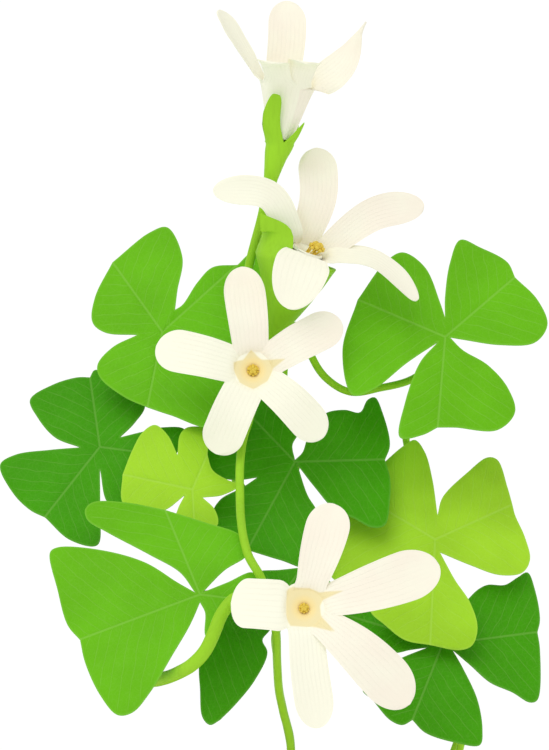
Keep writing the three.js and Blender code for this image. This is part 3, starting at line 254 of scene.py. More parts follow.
# Leaves as seen from the front. hub: where the three leaflets meet. lean: the way the blade faces, in
# degrees round from the front and up from level. Each leaflet is the gap before it, its left side, its notch
# and its right side, in millimetres from the hub. foot: where the stalk stands in the soil. column: how near
# the stalk passes the lowest and the highest place of COLUMN. route: its places from there to the leaf.
LEAVES = {
    1: {
        "tint": "mid", "hub": (-23.5, 83.5), "near": -5, "lean": (-12, 48),
        "foot": (3.5, 3), "column": (-19.5, -4),
        "route": [
            (2.5, 28, -5), (6.2, 37, -5), (4, 43, -6), (-4, 48, -7), (-9, 55, -8), (-11.6, 62, -10),
            (-13, 69, -12), (-18, 75, -13), (-22, 79.5, -11),
        ],
        "leaflets": [
            ((-5, -0.5), [(-11.5, 0), (-14, 2), (-13.5, 7)], (-10, 14),
             [(-2.5, 20), (1, 21), (4, 15), (3, 8.5)]),
            ((2.5, 4.5), [(4, 5.5), (7, 10), (10, 13)], (15, 13.5),
             [(18, 16), (21, 15), (22, 9.5), (20, 2.5), (14.5, -3.6)]),
            ((5.5, -2), [(14, -8.4), (15, -12.5), (10.5, -19), (1.5, -16.5)], (-3, -15),
             [(-7.5, -13), (-12.5, -9), (-13, -6.5), (-10, -3)]),
        ],
    },
    2: {
        "tint": "mid", "hub": (33, 82.5), "near": 0, "lean": (12, 48),
        "foot": (-3, 7), "column": (-23, -8),
        "route": [
            (3, 28, -9), (6, 37, -9), (4, 47, -10), (1, 58, -12), (0.6, 68, -13), (1, 78, -10), (2, 84.5, -6),
            (4.8, 84.5, -4), (6, 79.5, -2), (9, 74.6, -1.5), (14, 71.6, -1.5), (20, 72.4, -2),
            (26.5, 74.2, -3.5), (31.5, 78.5, -6.5),
        ],
        "leaflets": [
            ((-1.5, -1), [(-7.5, -5), (-14.5, -10.5), (-18.5, -11.5), (-20.5, -2.5)], (-17.5, 7.5),
             [(-12, 15), (-8.5, 17), (-4, 14), (-1, 7)]),
            ((0, 4), [(0, 8), (1, 15), (3, 19.5), (7, 18), (12.5, 15)], (14, 12),
             [(18.5, 7.5), (20.5, 2.5), (18, -1), (11, -1.5), (4, -0.5)]),
            ((1, 0), [(3.5, -2.5), (8.5, -5.5), (12.5, -10), (14, -15), (10.5, -18.5), (2, -18)], (-1.5, -18),
             [(-4.5, -19.5), (-9, -20), (-8, -13), (-5, -5)]),
        ],
    },
    3: {
        "tint": "dark", "hub": (-36, 60.5), "near": 0, "lean": (-12, 48),
        "foot": (-5, 0), "column": (-16, 0),
        "route": [
            (2, 28, -1), (5.8, 37, -1), (2, 43, -2), (-10, 42.5, -3), (-18, 43.5, -4), (-26, 45.5, -5),
            (-31, 49.5, -6), (-34, 53.5, -7), (-35.2, 56.5, -6.5),
        ],
        "leaflets": [
            ((-4, 0), [(-9, 2), (-12.5, 6), (-14, 9.5), (-9.5, 12.5), (-4.5, 14)], (-2, 14),
             [(-1, 15.5), (5, 12.5), (9, 8.5), (7, 5)]),
            ((4, 2), [(8, 3), (12.5, 4), (17, 3.5)], (15, -2),
             [(11.5, -6.5), (9, -10.5), (5, -12.5), (1.5, -11)]),
            ((0, -4.5), [(0, -12.5), (-0.5, -19.5), (-6, -18.5)], (-11, -14),
             [(-14, -12.5), (-17.5, -9), (-20, -3.5), (-17, -1.5), (-10, -0.5)]),
        ],
    },
    4: {
        "tint": "light", "hub": (-17.5, 52), "near": 12, "lean": (-6, 48),
        "foot": (4, -3.5), "column": (-12.5, 4),
        "route": [
            (2, 28, 2.8), (5.2, 36.5, 2.2), (2, 41.5, 2), (-6, 42, 2), (-12.5, 43.3, 3), (-16.5, 46.5, 4.5),
            (-17.3, 48.2, 6),
        ],
        "leaflets": [
            ((-1.5, -1), [(-5.5, -4), (-10.5, -5), (-14, -2.5)], (-14, 3),
             [(-12, 8), (-10, 11.5), (-7.5, 13), (-5, 11)]),
            ((-3, 7), [(-2.5, 11), (-1, 12.5), (3, 12)], (3, 7), [(4, 4), (7, 2), (9.5, 1), (6, -1)]),
            ((2, -1.5), [(4.5, -4), (5, -7)], (0.5, -9), [(-3.5, -7), (-3, -4)]),
        ],
    },
    5: {
        "tint": "mid", "hub": (-16, 31), "near": 33, "lean": (-4, 48),
        "foot": (-4, -14.5), "column": (-2, 22),
        "route": [(-3, 27.5, 26.8), (-7, 29.6, 28.4), (-10.5, 29.8, 28.2), (-13.6, 29.6, 28.5)],
        "leaflets": [
            ((-1, 0.5),
             [(-4, 4.5), (-10, 8), (-18.5, 12.5), (-22.5, 15), (-23, 17), (-21.5, 18.5), (-15, 18.5)],
             (-7, 17), [(1, 14.5), (8, 12), (10, 9), (9, 7.5), (5, 5)]),
            ((0.5, 0.5), [(5.5, 2.5), (10.5, 4.5), (12, 2.5)], (8, -1),
             [(4.5, -5), (2, -9.5), (1, -8), (1, -3.5)]),
            ((0, -1.5),
             [(-2, -6), (-5.5, -12), (-10, -19.5), (-13.5, -23.5), (-16.5, -24), (-20, -20), (-23, -13.5)],
             (-24, -9),
             [(-26.5, -6), (-28.5, 1), (-30, 8.5), (-28.5, 9.5), (-20, 9), (-11, 6.5), (-4.5, 2.5)]),
        ],
    },
    6: {
        "tint": "dark", "hub": (3, 57.5), "near": 2, "lean": (0, 48),
        "foot": (-5, -7), "column": (-9, 8),
        "route": [(2, 28, 6.5), (5, 36, 5), (4.5, 45, 1), (3.2, 53, -4)],
        "leaflets": [
            ((-7.5, -3), [(-12, -3.5), (-16, -2.5), (-17.5, 0.5), (-17, 5)], (-12, 12.5),
             [(-8, 16.5), (-4, 15.5), (0, 9.5), (1, 6.5), (-0.5, 3.5)]),
            ((0, 0.5),
             [(1.5, 2), (2.5, 5), (4.5, 8.5), (6.5, 10), (10, 10.5), (13, 10), (14.5, 12.5), (16, 13),
              (17.5, 10), (19, 3.5)],
             (18, 0.5), [(19, -3), (19, -7.5), (18, -12.5), (15.5, -13), (11.5, -11), (8, -9.5), (4, -5)]),
            ((0.5, -0.5), [(2.5, -6.5), (4.5, -10), (5, -15.5), (3, -21), (-3, -19.5)], (-9.5, -17.5),
             [(-14, -15.5), (-16.5, -10.5), (-15, -7.5), (-10.5, -5)]),
        ],
    },
    7: {
        "tint": "light", "hub": (31, 42), "near": 5, "lean": (6, 48),
        "foot": (23, -4),
        "route": [(35.5, 2, -10), (35, 10, -8), (33.6, 21, -5), (31.4, 34, -3), (30.8, 38.5, -2)],
        "leaflets": [
            ((-4.5, -5.5), [(-11, -6.5), (-19, -8.5), (-21.5, -6), (-20, -1), (-18, 4)], (-15, 9),
             [(-11.5, 14), (-8.5, 17), (-6, 19), (-4, 20), (-2, 17.5), (-0.5, 12)]),
            ((0.5, 5), [(1.5, 8.5), (6.5, 13.5), (10.5, 16.5), (12.5, 16), (14.5, 10.5)], (15.5, 7),
             [(16, 5), (18, 0.5), (19, -4), (17.5, -6.5), (13, -7), (7, -5)]),
            ((1, -2.5), [(4, -8), (7, -12.5), (8.5, -17.5), (7.5, -21), (5, -22)], (-1, -21),
             [(-6, -20), (-10, -17), (-13, -14), (-11.5, -10)]),
        ],
    },
    8: {
        "tint": "dark", "hub": (32.5, 21), "near": 12, "lean": (6, 48),
        "foot": (26, -11),
        "route": [(36.5, 2.5, -2), (35.5, 9, 1), (33, 15.5, 4.5)],
        "leaflets": [
            ((-3, -0.5), [(-6.5, -1), (-10, -1.5), (-16.5, 2.5)], (-23, 7),
             [(-21.5, 9), (-14.5, 9), (-7.5, 5), (-2.5, 2.5)]),
            ((-0.5, 2.5),
             [(2, 6), (4.5, 8.5), (7, 11), (9, 12), (12.5, 12), (15, 13.5), (17, 14.5), (18.5, 11),
              (19.5, 5)],
             (19, 2.5), [(19.5, -1), (19, -11), (17.5, -11.5), (14, -9.5), (9.5, -7.5), (5.5, -4)]),
            ((2, -1), [(4, -4.5), (7, -11), (8, -17), (7.5, -20), (2.5, -19.5), (-3.5, -17.5)], (-6, -15),
             [(-8, -16), (-10.5, -15), (-14, -11), (-16, -9), (-13.5, -6), (-9, -3)]),
        ],
    },
    9: {
        "tint": "dark", "hub": (-0.5, 29.5), "near": 18.6, "lean": (0, 48),
        "foot": (4, -11), "column": (-5.5, 12),
        "route": [(-0.4, 25.5, 11.5)],
        "leaflets": [
            ((-2.5, 1.5), [(-4, 4.5), (-4, 6), (0.5, 6.5)], (5, 7), [(9, 5.4), (10.8, 3.6), (7.5, 1.5)]),
            ((3.5, -0.5), [(7.5, 0)], (10.5, -1.5), [(9.5, -5), (6, -5.5), (3, -4.5)]),
            ((0.5, -2), [(-1.5, -5.5), (-3, -7.5), (-2, -10), (-4.5, -15.5), (-8.5, -20.5)], (-11.5, -23.5),
             [(-13.5, -24.5), (-15, -23), (-15.5, -17.5), (-15.5, -11.5), (-12.5, -6.5), (-8.5, -0.5)]),
        ],
    },
}

# The places, across and up, that the stalks pass which rise together behind the flower stem.
COLUMN = [(2.2, 0), (0.6, 8), (-0.2, 12), (-0.6, 18), (-0.8, 23.6)]

# A stalk that thickens, arches over to the left and goes down to a leaf behind leaf 5.
ARCHED_LEAF = {
    "tint": "mid", "hub": (-29.5, 27), "near": 26, "lean": (-20, 45), "turn": 0, "size": 9,
    "foot": (-1, -23.5), "column": (6, 32),
    "route": [
        (-2, 27.6, 38.4), (-5, 30.2, 39.6), (-8.6, 30.4, 40), (-11.4, 27.6, 41.5), (-13.4, 23, 43),
        (-15, 19.8, 43), (-17.4, 17.2, 41.5), (-20, 15.6, 38.5), (-23, 14.4, 34.5), (-26, 14, 30),
        (-28.5, 15.8, 24.5), (-28.5, 19.5, 20),
    ],
}

# Small leaves at the back. Each is made of three like leaflets, `size` long and turned by `turn` degrees.
REAR_LEAVES = {
    11: {"tint": "mid", "hub": (-20, 86.4), "near": -24, "lean": (185, 65), "turn": 180, "size": 16},
    12: {"tint": "mid", "hub": (33.4, 86), "near": -24, "lean": (175, 65), "turn": 180, "size": 16},
    13: {"tint": "dark", "hub": (-22.4, 74.8), "near": -27, "lean": (180, 65), "turn": 170, "size": 12.5},
    14: {"tint": "dark", "hub": (-28, 57.3), "near": -22, "lean": (180, 65), "turn": 180, "size": 13},
    15: {"tint": "light", "hub": (31, 43.4), "near": -18, "lean": (175, 66), "turn": 180, "size": 13},
    16: {"tint": "dark", "hub": (32, 25.2), "near": -26, "lean": (178, 65), "turn": 175, "size": 15},
    17: {"tint": "mid", "hub": (-32, 28.5), "near": -20, "lean": (183, 65), "turn": 180, "size": 10.5},
}

# One leaflet as a share of its length: the gap before it, its left side, its notch and its right side.
LEAFLET = [
    (-0.087, 0.05), (-0.3, 0.42), (-0.46, 0.78), (-0.36, 0.98), (0, 0.84),
    (0.36, 0.98), (0.46, 0.78), (0.3, 0.42),
]

# The two branching stems that carry the leaves at the back. The first stalk of each runs up from the soil,
# and each further one starts on it or on the column.
REAR_STEMS = {
    "left": [
        {
            "leaf": 11, "foot": (-1, 12), "column": (-27, -13),
            "route": [
                (2.4, 28, -12), (6, 37, -13), (4, 43, -15), (-4, 48, -17), (-9, 54, -19), (-8.2, 58, -20),
                (-7.5, 62, -21), (-7.4, 69, -22.5), (-8, 75, -24), (-12, 79.5, -25), (-17, 79.5, -24),
            ],
        },
        {"leaf": 13, "route": [(-7.5, 62, -21), (-10, 66.5, -22.5), (-14, 68.5, -24.5), (-19, 70.5, -26)]},
        {
            "leaf": 14,
            "route": [
                (4, 43, -15), (-2, 44, -16.5), (-9, 44.3, -18), (-15.5, 45.5, -19), (-17.2, 49.5, -19.5),
                (-20.5, 52.5, -20), (-25.5, 53.5, -21),
            ],
        },
        {
            "leaf": 17,
            "route": [
                (-0.8, 23.6, -13), (-3, 27.5, -15), (-8, 30.2, -17), (-13, 31.2, -18.5), (-16, 30.8, -19),
                (-18.5, 27, -18), (-21.5, 23.5, -17.5), (-28, 21.5, -18),
            ],
        },
    ],
    "right": [
        {
            "leaf": 15, "foot": (22, 4),
            "route": [
                (36.2, 2, -16), (35, 9, -17), (33.5, 14, -15), (31.5, 22, -12.5), (30.5, 30, -14),
                (30.8, 36, -17),
            ],
        },
        {"leaf": 16, "route": [(35, 9, -17), (34, 13, -21), (33, 17, -24.5)]},
        {
            "leaf": 12,
            "route": [
                (30.5, 30, -14), (31, 37, -9.5), (31, 43, -8), (30, 50, -10), (27.5, 56, -14),
                (25.2, 62.4, -18), (27, 68, -20), (31, 74, -22), (32.8, 78, -22.5),
            ],
        },
    ],
}

# The flower stem: where it stands, and the places that it passes up to the fork behind bloom 3.
SCAPE_FOOT = (0.5, -19.5)
SCAPE_ROUTE = [
    (2.2, 0, 1.5), (0.6, 8, 9), (-0.2, 12, 13.5), (-0.6, 18, 20), (-0.8, 23.6, 26), (-2, 29, 32.5),
    (-3.8, 34.4, 34.5), (-6.2, 38.6, 33), (-7.2, 42, 30.5), (-7.8, 46, 25), (-8, 50.5, 17.5), (-8, 57, 13),
    (-7.4, 62, 9.5), (-6.2, 66, 6.5), (-4.8, 71.6, 1.5), (-4.8, 74, -1),
]


def turns(count):
    """Angles in even steps, once round."""
    return [index / count * 2 * math.pi for index in range(count)]


# The end of a sepal's row where it doesn't turn to the front and its tip is in its middle.
PLAIN_SEPAL = ((0, 0), 0, 1.25)

# The like sepals of a bloom that faces the front: how many and how wide they are, how many times as far out
# their tips are as their middles, and how much nearer.
RING_SEPALS = 5
RING_SEPAL_WIDTH = 4
RING_TIP_REACH = 1.15
RING_TIP_NEAR = 1.4


def sepal_ring(across, up, near, reach):
    """Like sepals round a bloom that faces the front."""
    sepals = []
    for angle in turns(RING_SEPALS):
        right, top = math.sin(angle) * reach, math.cos(angle) * reach
        middle = (across + right, up + top, near)
        tip = (across + right * RING_TIP_REACH, up + top * RING_TIP_REACH, near + RING_TIP_NEAR)
        sepals.append((middle, tip, RING_SEPAL_WIDTH, *PLAIN_SEPAL))
    return sepals


# Blooms as seen from the front. base: the foot of the tube. face: the middle of its mouth. foot and mouth:
# its radius at either end. dish: the radius of the hollow in the mouth. heart: the measure of the golden
# heart, and head: the place of its top, where that isn't on the axis. A petal is its middle, its tip, its
# width, how far it turns its face to the front near the mouth and at the tip, how much pinkish tint it
# takes (painted light on the petals of a bloom's lit side), the share of its width that it has at the mouth,
# and where it is broadest. A sepal is its middle, its tip, its width, how far it turns to the front near the
# cup and at the tip, where its tip is across it, and how full its outline is. Sepals run on from the rim of
# the green cup, which is `cup` high, whose radius gains `flare` over its height, and whose rim is moved by
# `lean`. stem: the stalk up to the cup, with a radius at each place. star: the outline of the tan
# star round the throat, in millimetres from the middle of the face. Its tan is partly the throat's own
# colour and partly painted shade of the hollow throat and of the seams between the petals.
BLOOMS = {
    1: {
        "base": (-0.2, 120.8, 4), "face": (1.6, 133.6, 4), "foot": 2.2, "mouth": 5.8, "dish": 4.9,
        "heart": 0.8,
        "petals": [
            ((-7.4, 139.6, 4), (-12.2, 148, 2), 6.5, (0.35, 0.35), 0, 0.55, 0.7),
            ((1.4, 142.8, -2.5), (1.4, 149.8, -5), 7.6, (1, 1), 1, 0.9, 0.7),
            ((12.2, 136.6, 5), (17.2, 145.6, 2), 7, (1, 0.15), 0.8, 0.75, 0.3),
            ((4.6, 136.5, 11), (5.2, 137.5, 18), 6.5, (0, 0), 0, 0.85, 0.7),
            ((-1.2, 136.5, 12), (-1.8, 137.5, 19), 6.5, (0, 0), 0, 0.85, 0.7),
        ],
        "cup": 0.5, "flare": 0.05, "lean": (0, 0, 0), "star": [],
        "sepals": [
            ((-1.9, 125.4, 8.2), (-0.7, 130.9, 10.6), 4.3, (0.7, 0.8), 0, 4),
            ((3.2, 122.8, 6.8), (4.9, 125.3, 7.6), 2.6, *PLAIN_SEPAL),
            ((1, 125, -0.2), (1.4, 128, -1.6), 3.4, *PLAIN_SEPAL),
            ((-2, 124, 1.4), (-2.2, 126.4, 0.4), 3, *PLAIN_SEPAL),
            ((3, 123.4, 1.4), (3.6, 125.4, 0.6), 3, *PLAIN_SEPAL),
        ],
        "stem": [
            (-4.8, 74, -1, 0.8), (-5.4, 78, 0.5, 0.8), (-6, 83, 0.8, 0.8), (-6.6, 92, 0, 0.8),
            (-6.2, 96.6, 0, 0.9), (-5, 101.2, 1, 1), (-3.6, 106, 2, 1.1), (-2.4, 111, 3, 1.25),
            (-1.9, 114, 4, 1.35), (-1.2, 117.2, 4, 1.95), (-0.7, 119.3, 4, 2.4),
        ],
    },
    2: {
        "base": (-1.2, 84, 1.5), "face": (5.8, 100.6, 6), "foot": 1.3, "mouth": 4, "dish": 3.3, "heart": 1.7,
        "head": (7.8, 101.5, 7),
        "petals": [
            ((7.6, 110.6, 3), (7.2, 120.4, -1), 7.8, (0.9, 0.9), 1, 0.7, 0.75),
            ((19, 107.2, 2), (28.8, 109, -1), 6.8, (0.9, 0.9), 1, 0.7, 0.7),
            ((19, 97.6, 5), (27.6, 90, 5), 6.4, (0.35, 0.35), 0.2, 0.8, 0.7),
            ((4, 95.6, 13.4), (1.7, 88.2, 14.8), 11, (0.9, 0.9), 0.1, 0.62, 0.35),
            ((-2.2, 110.8, 8), (-13.4, 112, 10), 6, (0.9, 0.9), 0, 0.95, 0.7),
        ],
        "cup": 15.4, "flare": 4.1, "lean": (-1.5, 0, -1.4), "star": [],
        "sepals": [
            ((0.4, 103, 9.2), (-1.2, 108.2, 9.6), 12.6, (0.9, 0.9), 0.5, 1.2),
            ((4.4, 101, -2), (4.6, 102.6, -2.4), 6, *PLAIN_SEPAL),
        ],
        "stem": [(-4.8, 74, -1, 0.8), (-3.4, 77.6, -0.4, 1), (-2.2, 81, 0.6, 1.5), (-1.6, 83.2, 1.2, 1.8)],
    },
    3: {
        "base": (-5.4, 74.3, 4.2), "face": (-5.4, 76.2, 13), "foot": 1.3, "mouth": 4.2, "dish": 5.4,
        "heart": 1.2,
        "petals": [
            ((-6.4, 86.2, 12.5), (-7.8, 96.6, 9), 8.2, (0, 0), 1, 0.84, 0.65),
            ((3.4, 81.2, 13), (12.2, 85.8, 10), 7.8, (0, 0), 1, 0.84, 0.7),
            ((2, 69.6, 15), (8.6, 62.4, 14), 7.8, (0, 0), 0, 0.84, 0.7),
            ((-9.4, 67.6, 15), (-12.8, 59.2, 14), 8.4, (0, 0), 0, 0.94, 0.7),
            ((-15.2, 78.6, 13.5), (-24.8, 80.6, 11), 8.6, (0, 0), 0, 0.86, 0.7),
        ],
        "cup": 2.5, "flare": 0.4, "lean": (0, 0, 0),
        "star": [
            (-0.4, 4), (0.8, 2.6), (1.8, 1.8), (6.4, 2), (4.2, 0.2), (3, -2.4), (0, -4.2), (-2.6, -2.8),
            (-4, -0.2), (-4, 1.4), (-2, 1.8), (-1.2, 2.8),
        ],
        "sepals": sepal_ring(-5.4, 75.4, 9, 3.6),
        "stem": [(-4.8, 74, -1.5, 0.8), (-5.1, 73.8, 0.5, 1), (-5.4, 73.7, 2.5, 1.6)],
    },
    4: {
        "base": (4.8, 26.7, 38.2), "face": (4.8, 28.6, 47), "foot": 1.3, "mouth": 4.2, "dish": 5.1,
        "heart": 1,
        "petals": [
            ((-2.6, 29, 47), (-9.8, 29.4, 46), 9.6, (0, 0), 0, 1.04, 0.7),
            ((8.2, 39.8, 46.5), (10.8, 49.2, 43), 8.4, (0, 0), 1, 0.64, 0.7),
            ((18, 32.2, 47), (31.8, 37, 43), 9.8, (0, 0), 1, 0.6, 0.7),
            ((15.2, 20.2, 49), (26, 9.2, 46), 9.8, (0, 0), 1, 0.56, 0.7),
            ((5.8, 17, 48), (7.6, 4.4, 46), 7.4, (0, 0), 0, 0.9, 0.7),
        ],
        "cup": 2.5, "flare": 0.4, "lean": (0, 0, 0),
        "star": [
            (-3.6, 3.4), (-2.4, 4), (1.2, 3.9), (3.2, 3), (7.8, 3.2), (3.8, 1.4), (3.2, 0.2), (3.4, -1.8),
            (6.2, -5), (2.8, -4.2), (-2.8, -3.8), (-3.6, -2.2),
        ],
        "sepals": sepal_ring(4.8, 27.8, 43, 3.6),
        "stem": [
            (-1.6, 27.5, 31.5, 0.8), (1, 25.6, 32.5, 0.9), (3.6, 25.6, 34.6, 1.2),
            (4.8, 26.1, 36.8, 1.7),
        ],
    },
}


def from_screen(red, green, blue):
    """A colour of 0 to 255 a channel, as the renderer's linear one, by the usual curve of screens."""
    linear = []
    for channel in (red, green, blue):
        share = channel / 255
        linear.append(share / 12.92 if share <= 0.04045 else ((share + 0.055) / 1.055) ** 2.4)
    return linear


def lerp(a, b, share):
    return a + (b - a) * share


def smoothstep(low, high, value):
    share = min(max((value - low) / (high - low), 0), 1)
    return share * share * (3 - 2 * share)


def number_property(name, description, default, least=0, **kind):
    return FloatProperty(name=name, description=description, default=default, min=least, **kind)


def length_property(name, description, default_mm):
    return number_property(name, description, default_mm * MM, unit="LENGTH", precision=5)


def count_property(name, description, default, least):
    return IntProperty(name=name, description=description, default=default, min=least)


def colour_property(name, description, red, green, blue):
    linear = from_screen(red, green, blue)
    return FloatVectorProperty(
        name=name, description=description, default=linear, min=0, max=1, subtype="COLOR")


class LeafSettings(bpy.types.PropertyGroup):
    """Sizes and colours of the leaf blades."""
    thickness: length_property("Thickness", "How thick a blade is between its veins", 0.5)
    edge: length_property("Edge", "How thick a blade is at its edge", 0.14)
    fold: length_property("Fold", "How far a leaflet folds up from its midrib", 2.2)
    sag: length_property("Sag", "How far a leaflet sags at its tip", 1.8)
    groove: length_property("Midrib", "How deep the midrib lies in the blade", 0.22)
    spacing: length_property("Point spacing", "How far apart the points of a blade are", 0.8)
    mid: colour_property("Mid green", "Colour of the grass-green leaves", 106, 188, 21)
    dark: colour_property("Dark green", "Colour of the shaded leaves", 68, 157, 8)
    light: colour_property("Light green", "Colour of the youngest leaves", 164, 216, 46)


class StemSettings(bpy.types.PropertyGroup):
    """Sizes and colour of the stalks, the flower stem and the green cups."""
    radius: length_property("Stalk radius", "Radius of a leaf stalk", 0.75)
    sides: count_property("Sides", "Sides of a stalk's round section", 14, least=6)
    colour: colour_property("Colour", "Colour of the stalks", 157, 214, 47)


class BloomSettings(bpy.types.PropertyGroup):
    """Sizes and colours of the blooms."""
    thickness: length_property("Petal thickness", "How thick a petal is along its middle", 0.4)
    rows: count_property("Petal rows", "Rows of points along a petal", 56, least=8)
    columns: count_property("Petal columns", "Points across a petal", 21, least=5)
    cream: colour_property("Cream", "Colour of the yellowish petals", 255, 253, 232)
    blush: colour_property("Blush", "Colour of the pinkish petals", 254, 246, 228)
    # The pinkish colour below is painted light: it is given to the petals on the lit side of a bloom.
    tan: colour_property("Tan", "Colour of the star round the throat", 245, 231, 179)
    # The tan below is partly the throat's own colour and partly painted shade of the hollow throat and the
    # seams between petals.
    halo: colour_property("Halo", "Colour of the throat close to the style", 255, 232, 160)
    gold: colour_property("Gold", "Colour of the style and anthers", 232, 202, 78)


class PotSettings(bpy.types.PropertyGroup):
    """Sizes and colours of the pot and its soil."""
    rounding: length_property("Rounding", "Radius of the pot's edges", 1.2)
    clay: colour_property("Clay", "Colour of the fired clay", 196, 114, 74)
    soil: colour_property("Soil", "Colour of the potting soil", 74, 53, 36)
    crumbs: count_property("Crumbs", "How many loose crumbs lie on the soil", 700, least=0)


class StageSettings(bpy.types.PropertyGroup):
    """The floor, the light and the camera."""
    floor: number_property("Floor", "How wide the floor is", 16, least=1, unit="LENGTH")
    floor_colour: colour_property("Floor colour", "Colour of the floor", 250, 250, 250)
    glow: number_property("Floor glow", "Light that the floor gives off", 0.12)
    sky: number_property("Surroundings", "Strength of the even light all round", 0.7)
    key: number_property("Key light", "Strength of the broad light above", 0.95)
    key_width: number_property("Key width", "How wide the broad light is", math.radians(50), unit="ROTATION")
    lens: number_property("Lens", "Focal length", 216, least=10, unit="CAMERA")


def sight(across, up, near):
    """The place in space of one given as across, up and near."""
    spot = VIEW_MIDDLE + VIEW_UP * (up - VIEW_MIDDLE_UP)
    spot.x = across
    return EYE.lerp(spot, 1 - near / EYE_DISTANCE)


def pictured(place):
    """Where a place is seen from the front: across and up."""
    line = place - EYE
    spot = EYE + line * (EYE_DISTANCE / -line.dot(TO_EYE))
    return Vector((spot.x, (spot - VIEW_MIDDLE).dot(VIEW_UP) + VIEW_MIDDLE_UP))


def facing(turn, rise):
    """A unit vector that looks `turn` degrees to the right of the front and `rise` degrees up."""
    turn, rise = math.radians(turn), math.radians(rise)
    return Vector((math.sin(turn) * math.cos(rise), -math.cos(turn) * math.cos(rise), math.sin(rise)))


def around(radius, angle, height=0):
    """A place round the pot's axis."""
    return Vector((math.cos(angle) * radius, math.sin(angle) * radius, height))


def square_to(axis, direction):
    """The part of a direction that lies square to an axis, as a unit vector."""
    return (direction - axis * direction.dot(axis)).normalized()


def smooth(places, per_place):
    """Points of the smooth curve through the given places."""
    places = [Vector(place) for place in places]
    knots = [places[0] * 2 - places[1], *places, places[-1] * 2 - places[-2]]
    points = []
    for a, b, c, d in zip(knots, knots[1:], knots[2:], knots[3:]):
        before, within, after = (max((q - p).length, TINY) ** 0.5 for p, q in ((a, b), (b, c), (c, d)))
        leave = ((b - a) / before - (c - a) / (before + within) + (c - b) / within) * within
        arrive = ((c - b) / within - (d - b) / (within + after) + (d - c) / after) * within
        for step in range(per_place):
            t = step / per_place
            points.append(
                b + leave * t + (b * -3 + c * 3 - leave * 2 - arrive) * t ** 2
                + (b * 2 - c * 2 + leave + arrive) * t ** 3)
    return [*points, places[-1]]


class Path:
    """A smooth curve that is followed by the share of its length. It may carry a value at each place."""

    def __init__(self, places, values=None, per_place=PATH_POINTS):
        self.points = smooth(places, per_place)
        self.reached = [0.0]
        for a, b in zip(self.points, self.points[1:]):
            self.reached.append(self.reached[-1] + (b - a).length)
        self.length = self.reached[-1]
        self.values = values
        self.per_place = per_place

    def spot(self, share):
        target = share * self.length
        after = min(max(bisect.bisect_right(self.reached, target), 1), len(self.points) - 1)
        step = self.reached[after] - self.reached[after - 1]
        return after - 1, (target - self.reached[after - 1]) / step

    def at(self, share):
        before, part = self.spot(share)
        return self.points[before].lerp(self.points[before + 1], part)

    def along(self, share):
        return (self.at(min(share + PATH_TANGENT, 1)) - self.at(max(share - PATH_TANGENT, 0))).normalized()

    def value(self, share):
        before, part = self.spot(share)
        place = min((before + part) / self.per_place, len(self.values) - PATH_LAST)
        return lerp(self.values[int(place)], self.values[int(place) + 1], place - int(place))


def in_scene(name, data):
    """A new object in the scene."""
    thing = bpy.data.objects.new(name, data)
    bpy.context.scene.collection.objects.link(thing)
    return thing


def mesh_of(name, points, faces):
    """A mesh through points in millimetres."""
    mesh = bpy.data.meshes.new(name)
    mesh.from_pydata([point * MM for point in points], [], faces)
    return mesh


class Body:
    """The points and faces of one piece in the making, with a value for each point in each named layer."""

    def __init__(self, *layers):
        self.points = []
        self.faces = []
        self.uvs = []
        self.layers = {layer: [] for layer in layers}

    def add(self, points, faces, **values):
        start = len(self.points)
        self.points.extend(points)
        self.faces.extend([tuple(number + start for number in face) for face in faces])
        for layer, listed in self.layers.items():
            value = values.get(layer, 0)
            listed.extend(value if isinstance(value, list) else [value] * len(points))

    def make(self, name, material, node):
        """Turns the body into a piece of the plant that stands for the CAD node."""
        mesh = mesh_of(name, self.points, self.faces)
        if mesh.validate():
            raise RuntimeError(f"{name}: faces were dropped")
        for layer, values in self.layers.items():
            mesh.attributes.new(layer, "FLOAT", "POINT").data.foreach_set("value", values)
        if self.uvs:
            layer = mesh.uv_layers.new(name="blade")
            layer.data.foreach_set("uv", [number for pair in self.uvs for number in pair])
        mesh.shade_smooth()
        mesh.set_sharp_from_angle(angle=SMOOTH_ANGLE)
        mesh.materials.append(material)
        piece = in_scene(name, mesh)
        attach(piece, "root")
        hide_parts(node)
        return piece


def close_sheet(points, faces, offsets):
    """Points and faces of a closed blade: each point of an open sheet is moved both ways by its offset."""
    count = len(points)
    edges = {(a, b) for face in faces for a, b in zip(face, [*face[1:], face[0]])}
    rim = [(a, b) for a, b in edges if (b, a) not in edges]
    below = [tuple(number + count for number in reversed(face)) for face in faces]
    sides = [(b, a, a + count, b + count) for a, b in sorted(rim)]
    upper = [point + offset for point, offset in zip(points, offsets)]
    lower = [point - offset for point, offset in zip(points, offsets)]
    return [*upper, *lower], [*faces, *below, *sides]


def grid_faces(rows, columns, closed=False):
    faces = []
    for row in range(rows - 1):
        for column in range(columns if closed else columns - 1):
            after = (column + 1) % columns
            a, b = row * columns + column, row * columns + after
            faces.append((a, b, b + columns, a + columns))
    return faces


def ring(middle, axis, start, radius, sides):
    """A round ring about an axis. Its first point lies on the side that `start` looks to."""
    along = axis.cross(start).normalized()
    across = along.cross(axis).normalized()
    return [
        middle + across * (math.cos(angle) * radius) + along * (math.sin(angle) * radius)
        for angle in turns(sides)
    ]


def loft(body, rings, **values):
    """Adds a closed body through rings of points, with both end rings filled."""
    sides = len(rings[0])
    points = [point for row in rings for point in row]
    faces = grid_faces(len(rings), sides, closed=True)
    faces.append(tuple(reversed(range(sides))))
    faces.append(tuple(range(len(points) - sides, len(points))))
    body.add(points, faces, **values)


def sideways(axis):
    """Of the two directions of the view, the one that lies furthest from an axis."""
    return VIEW_UP if abs(axis.dot(TO_EYE)) > math.sqrt(0.5) else TO_EYE


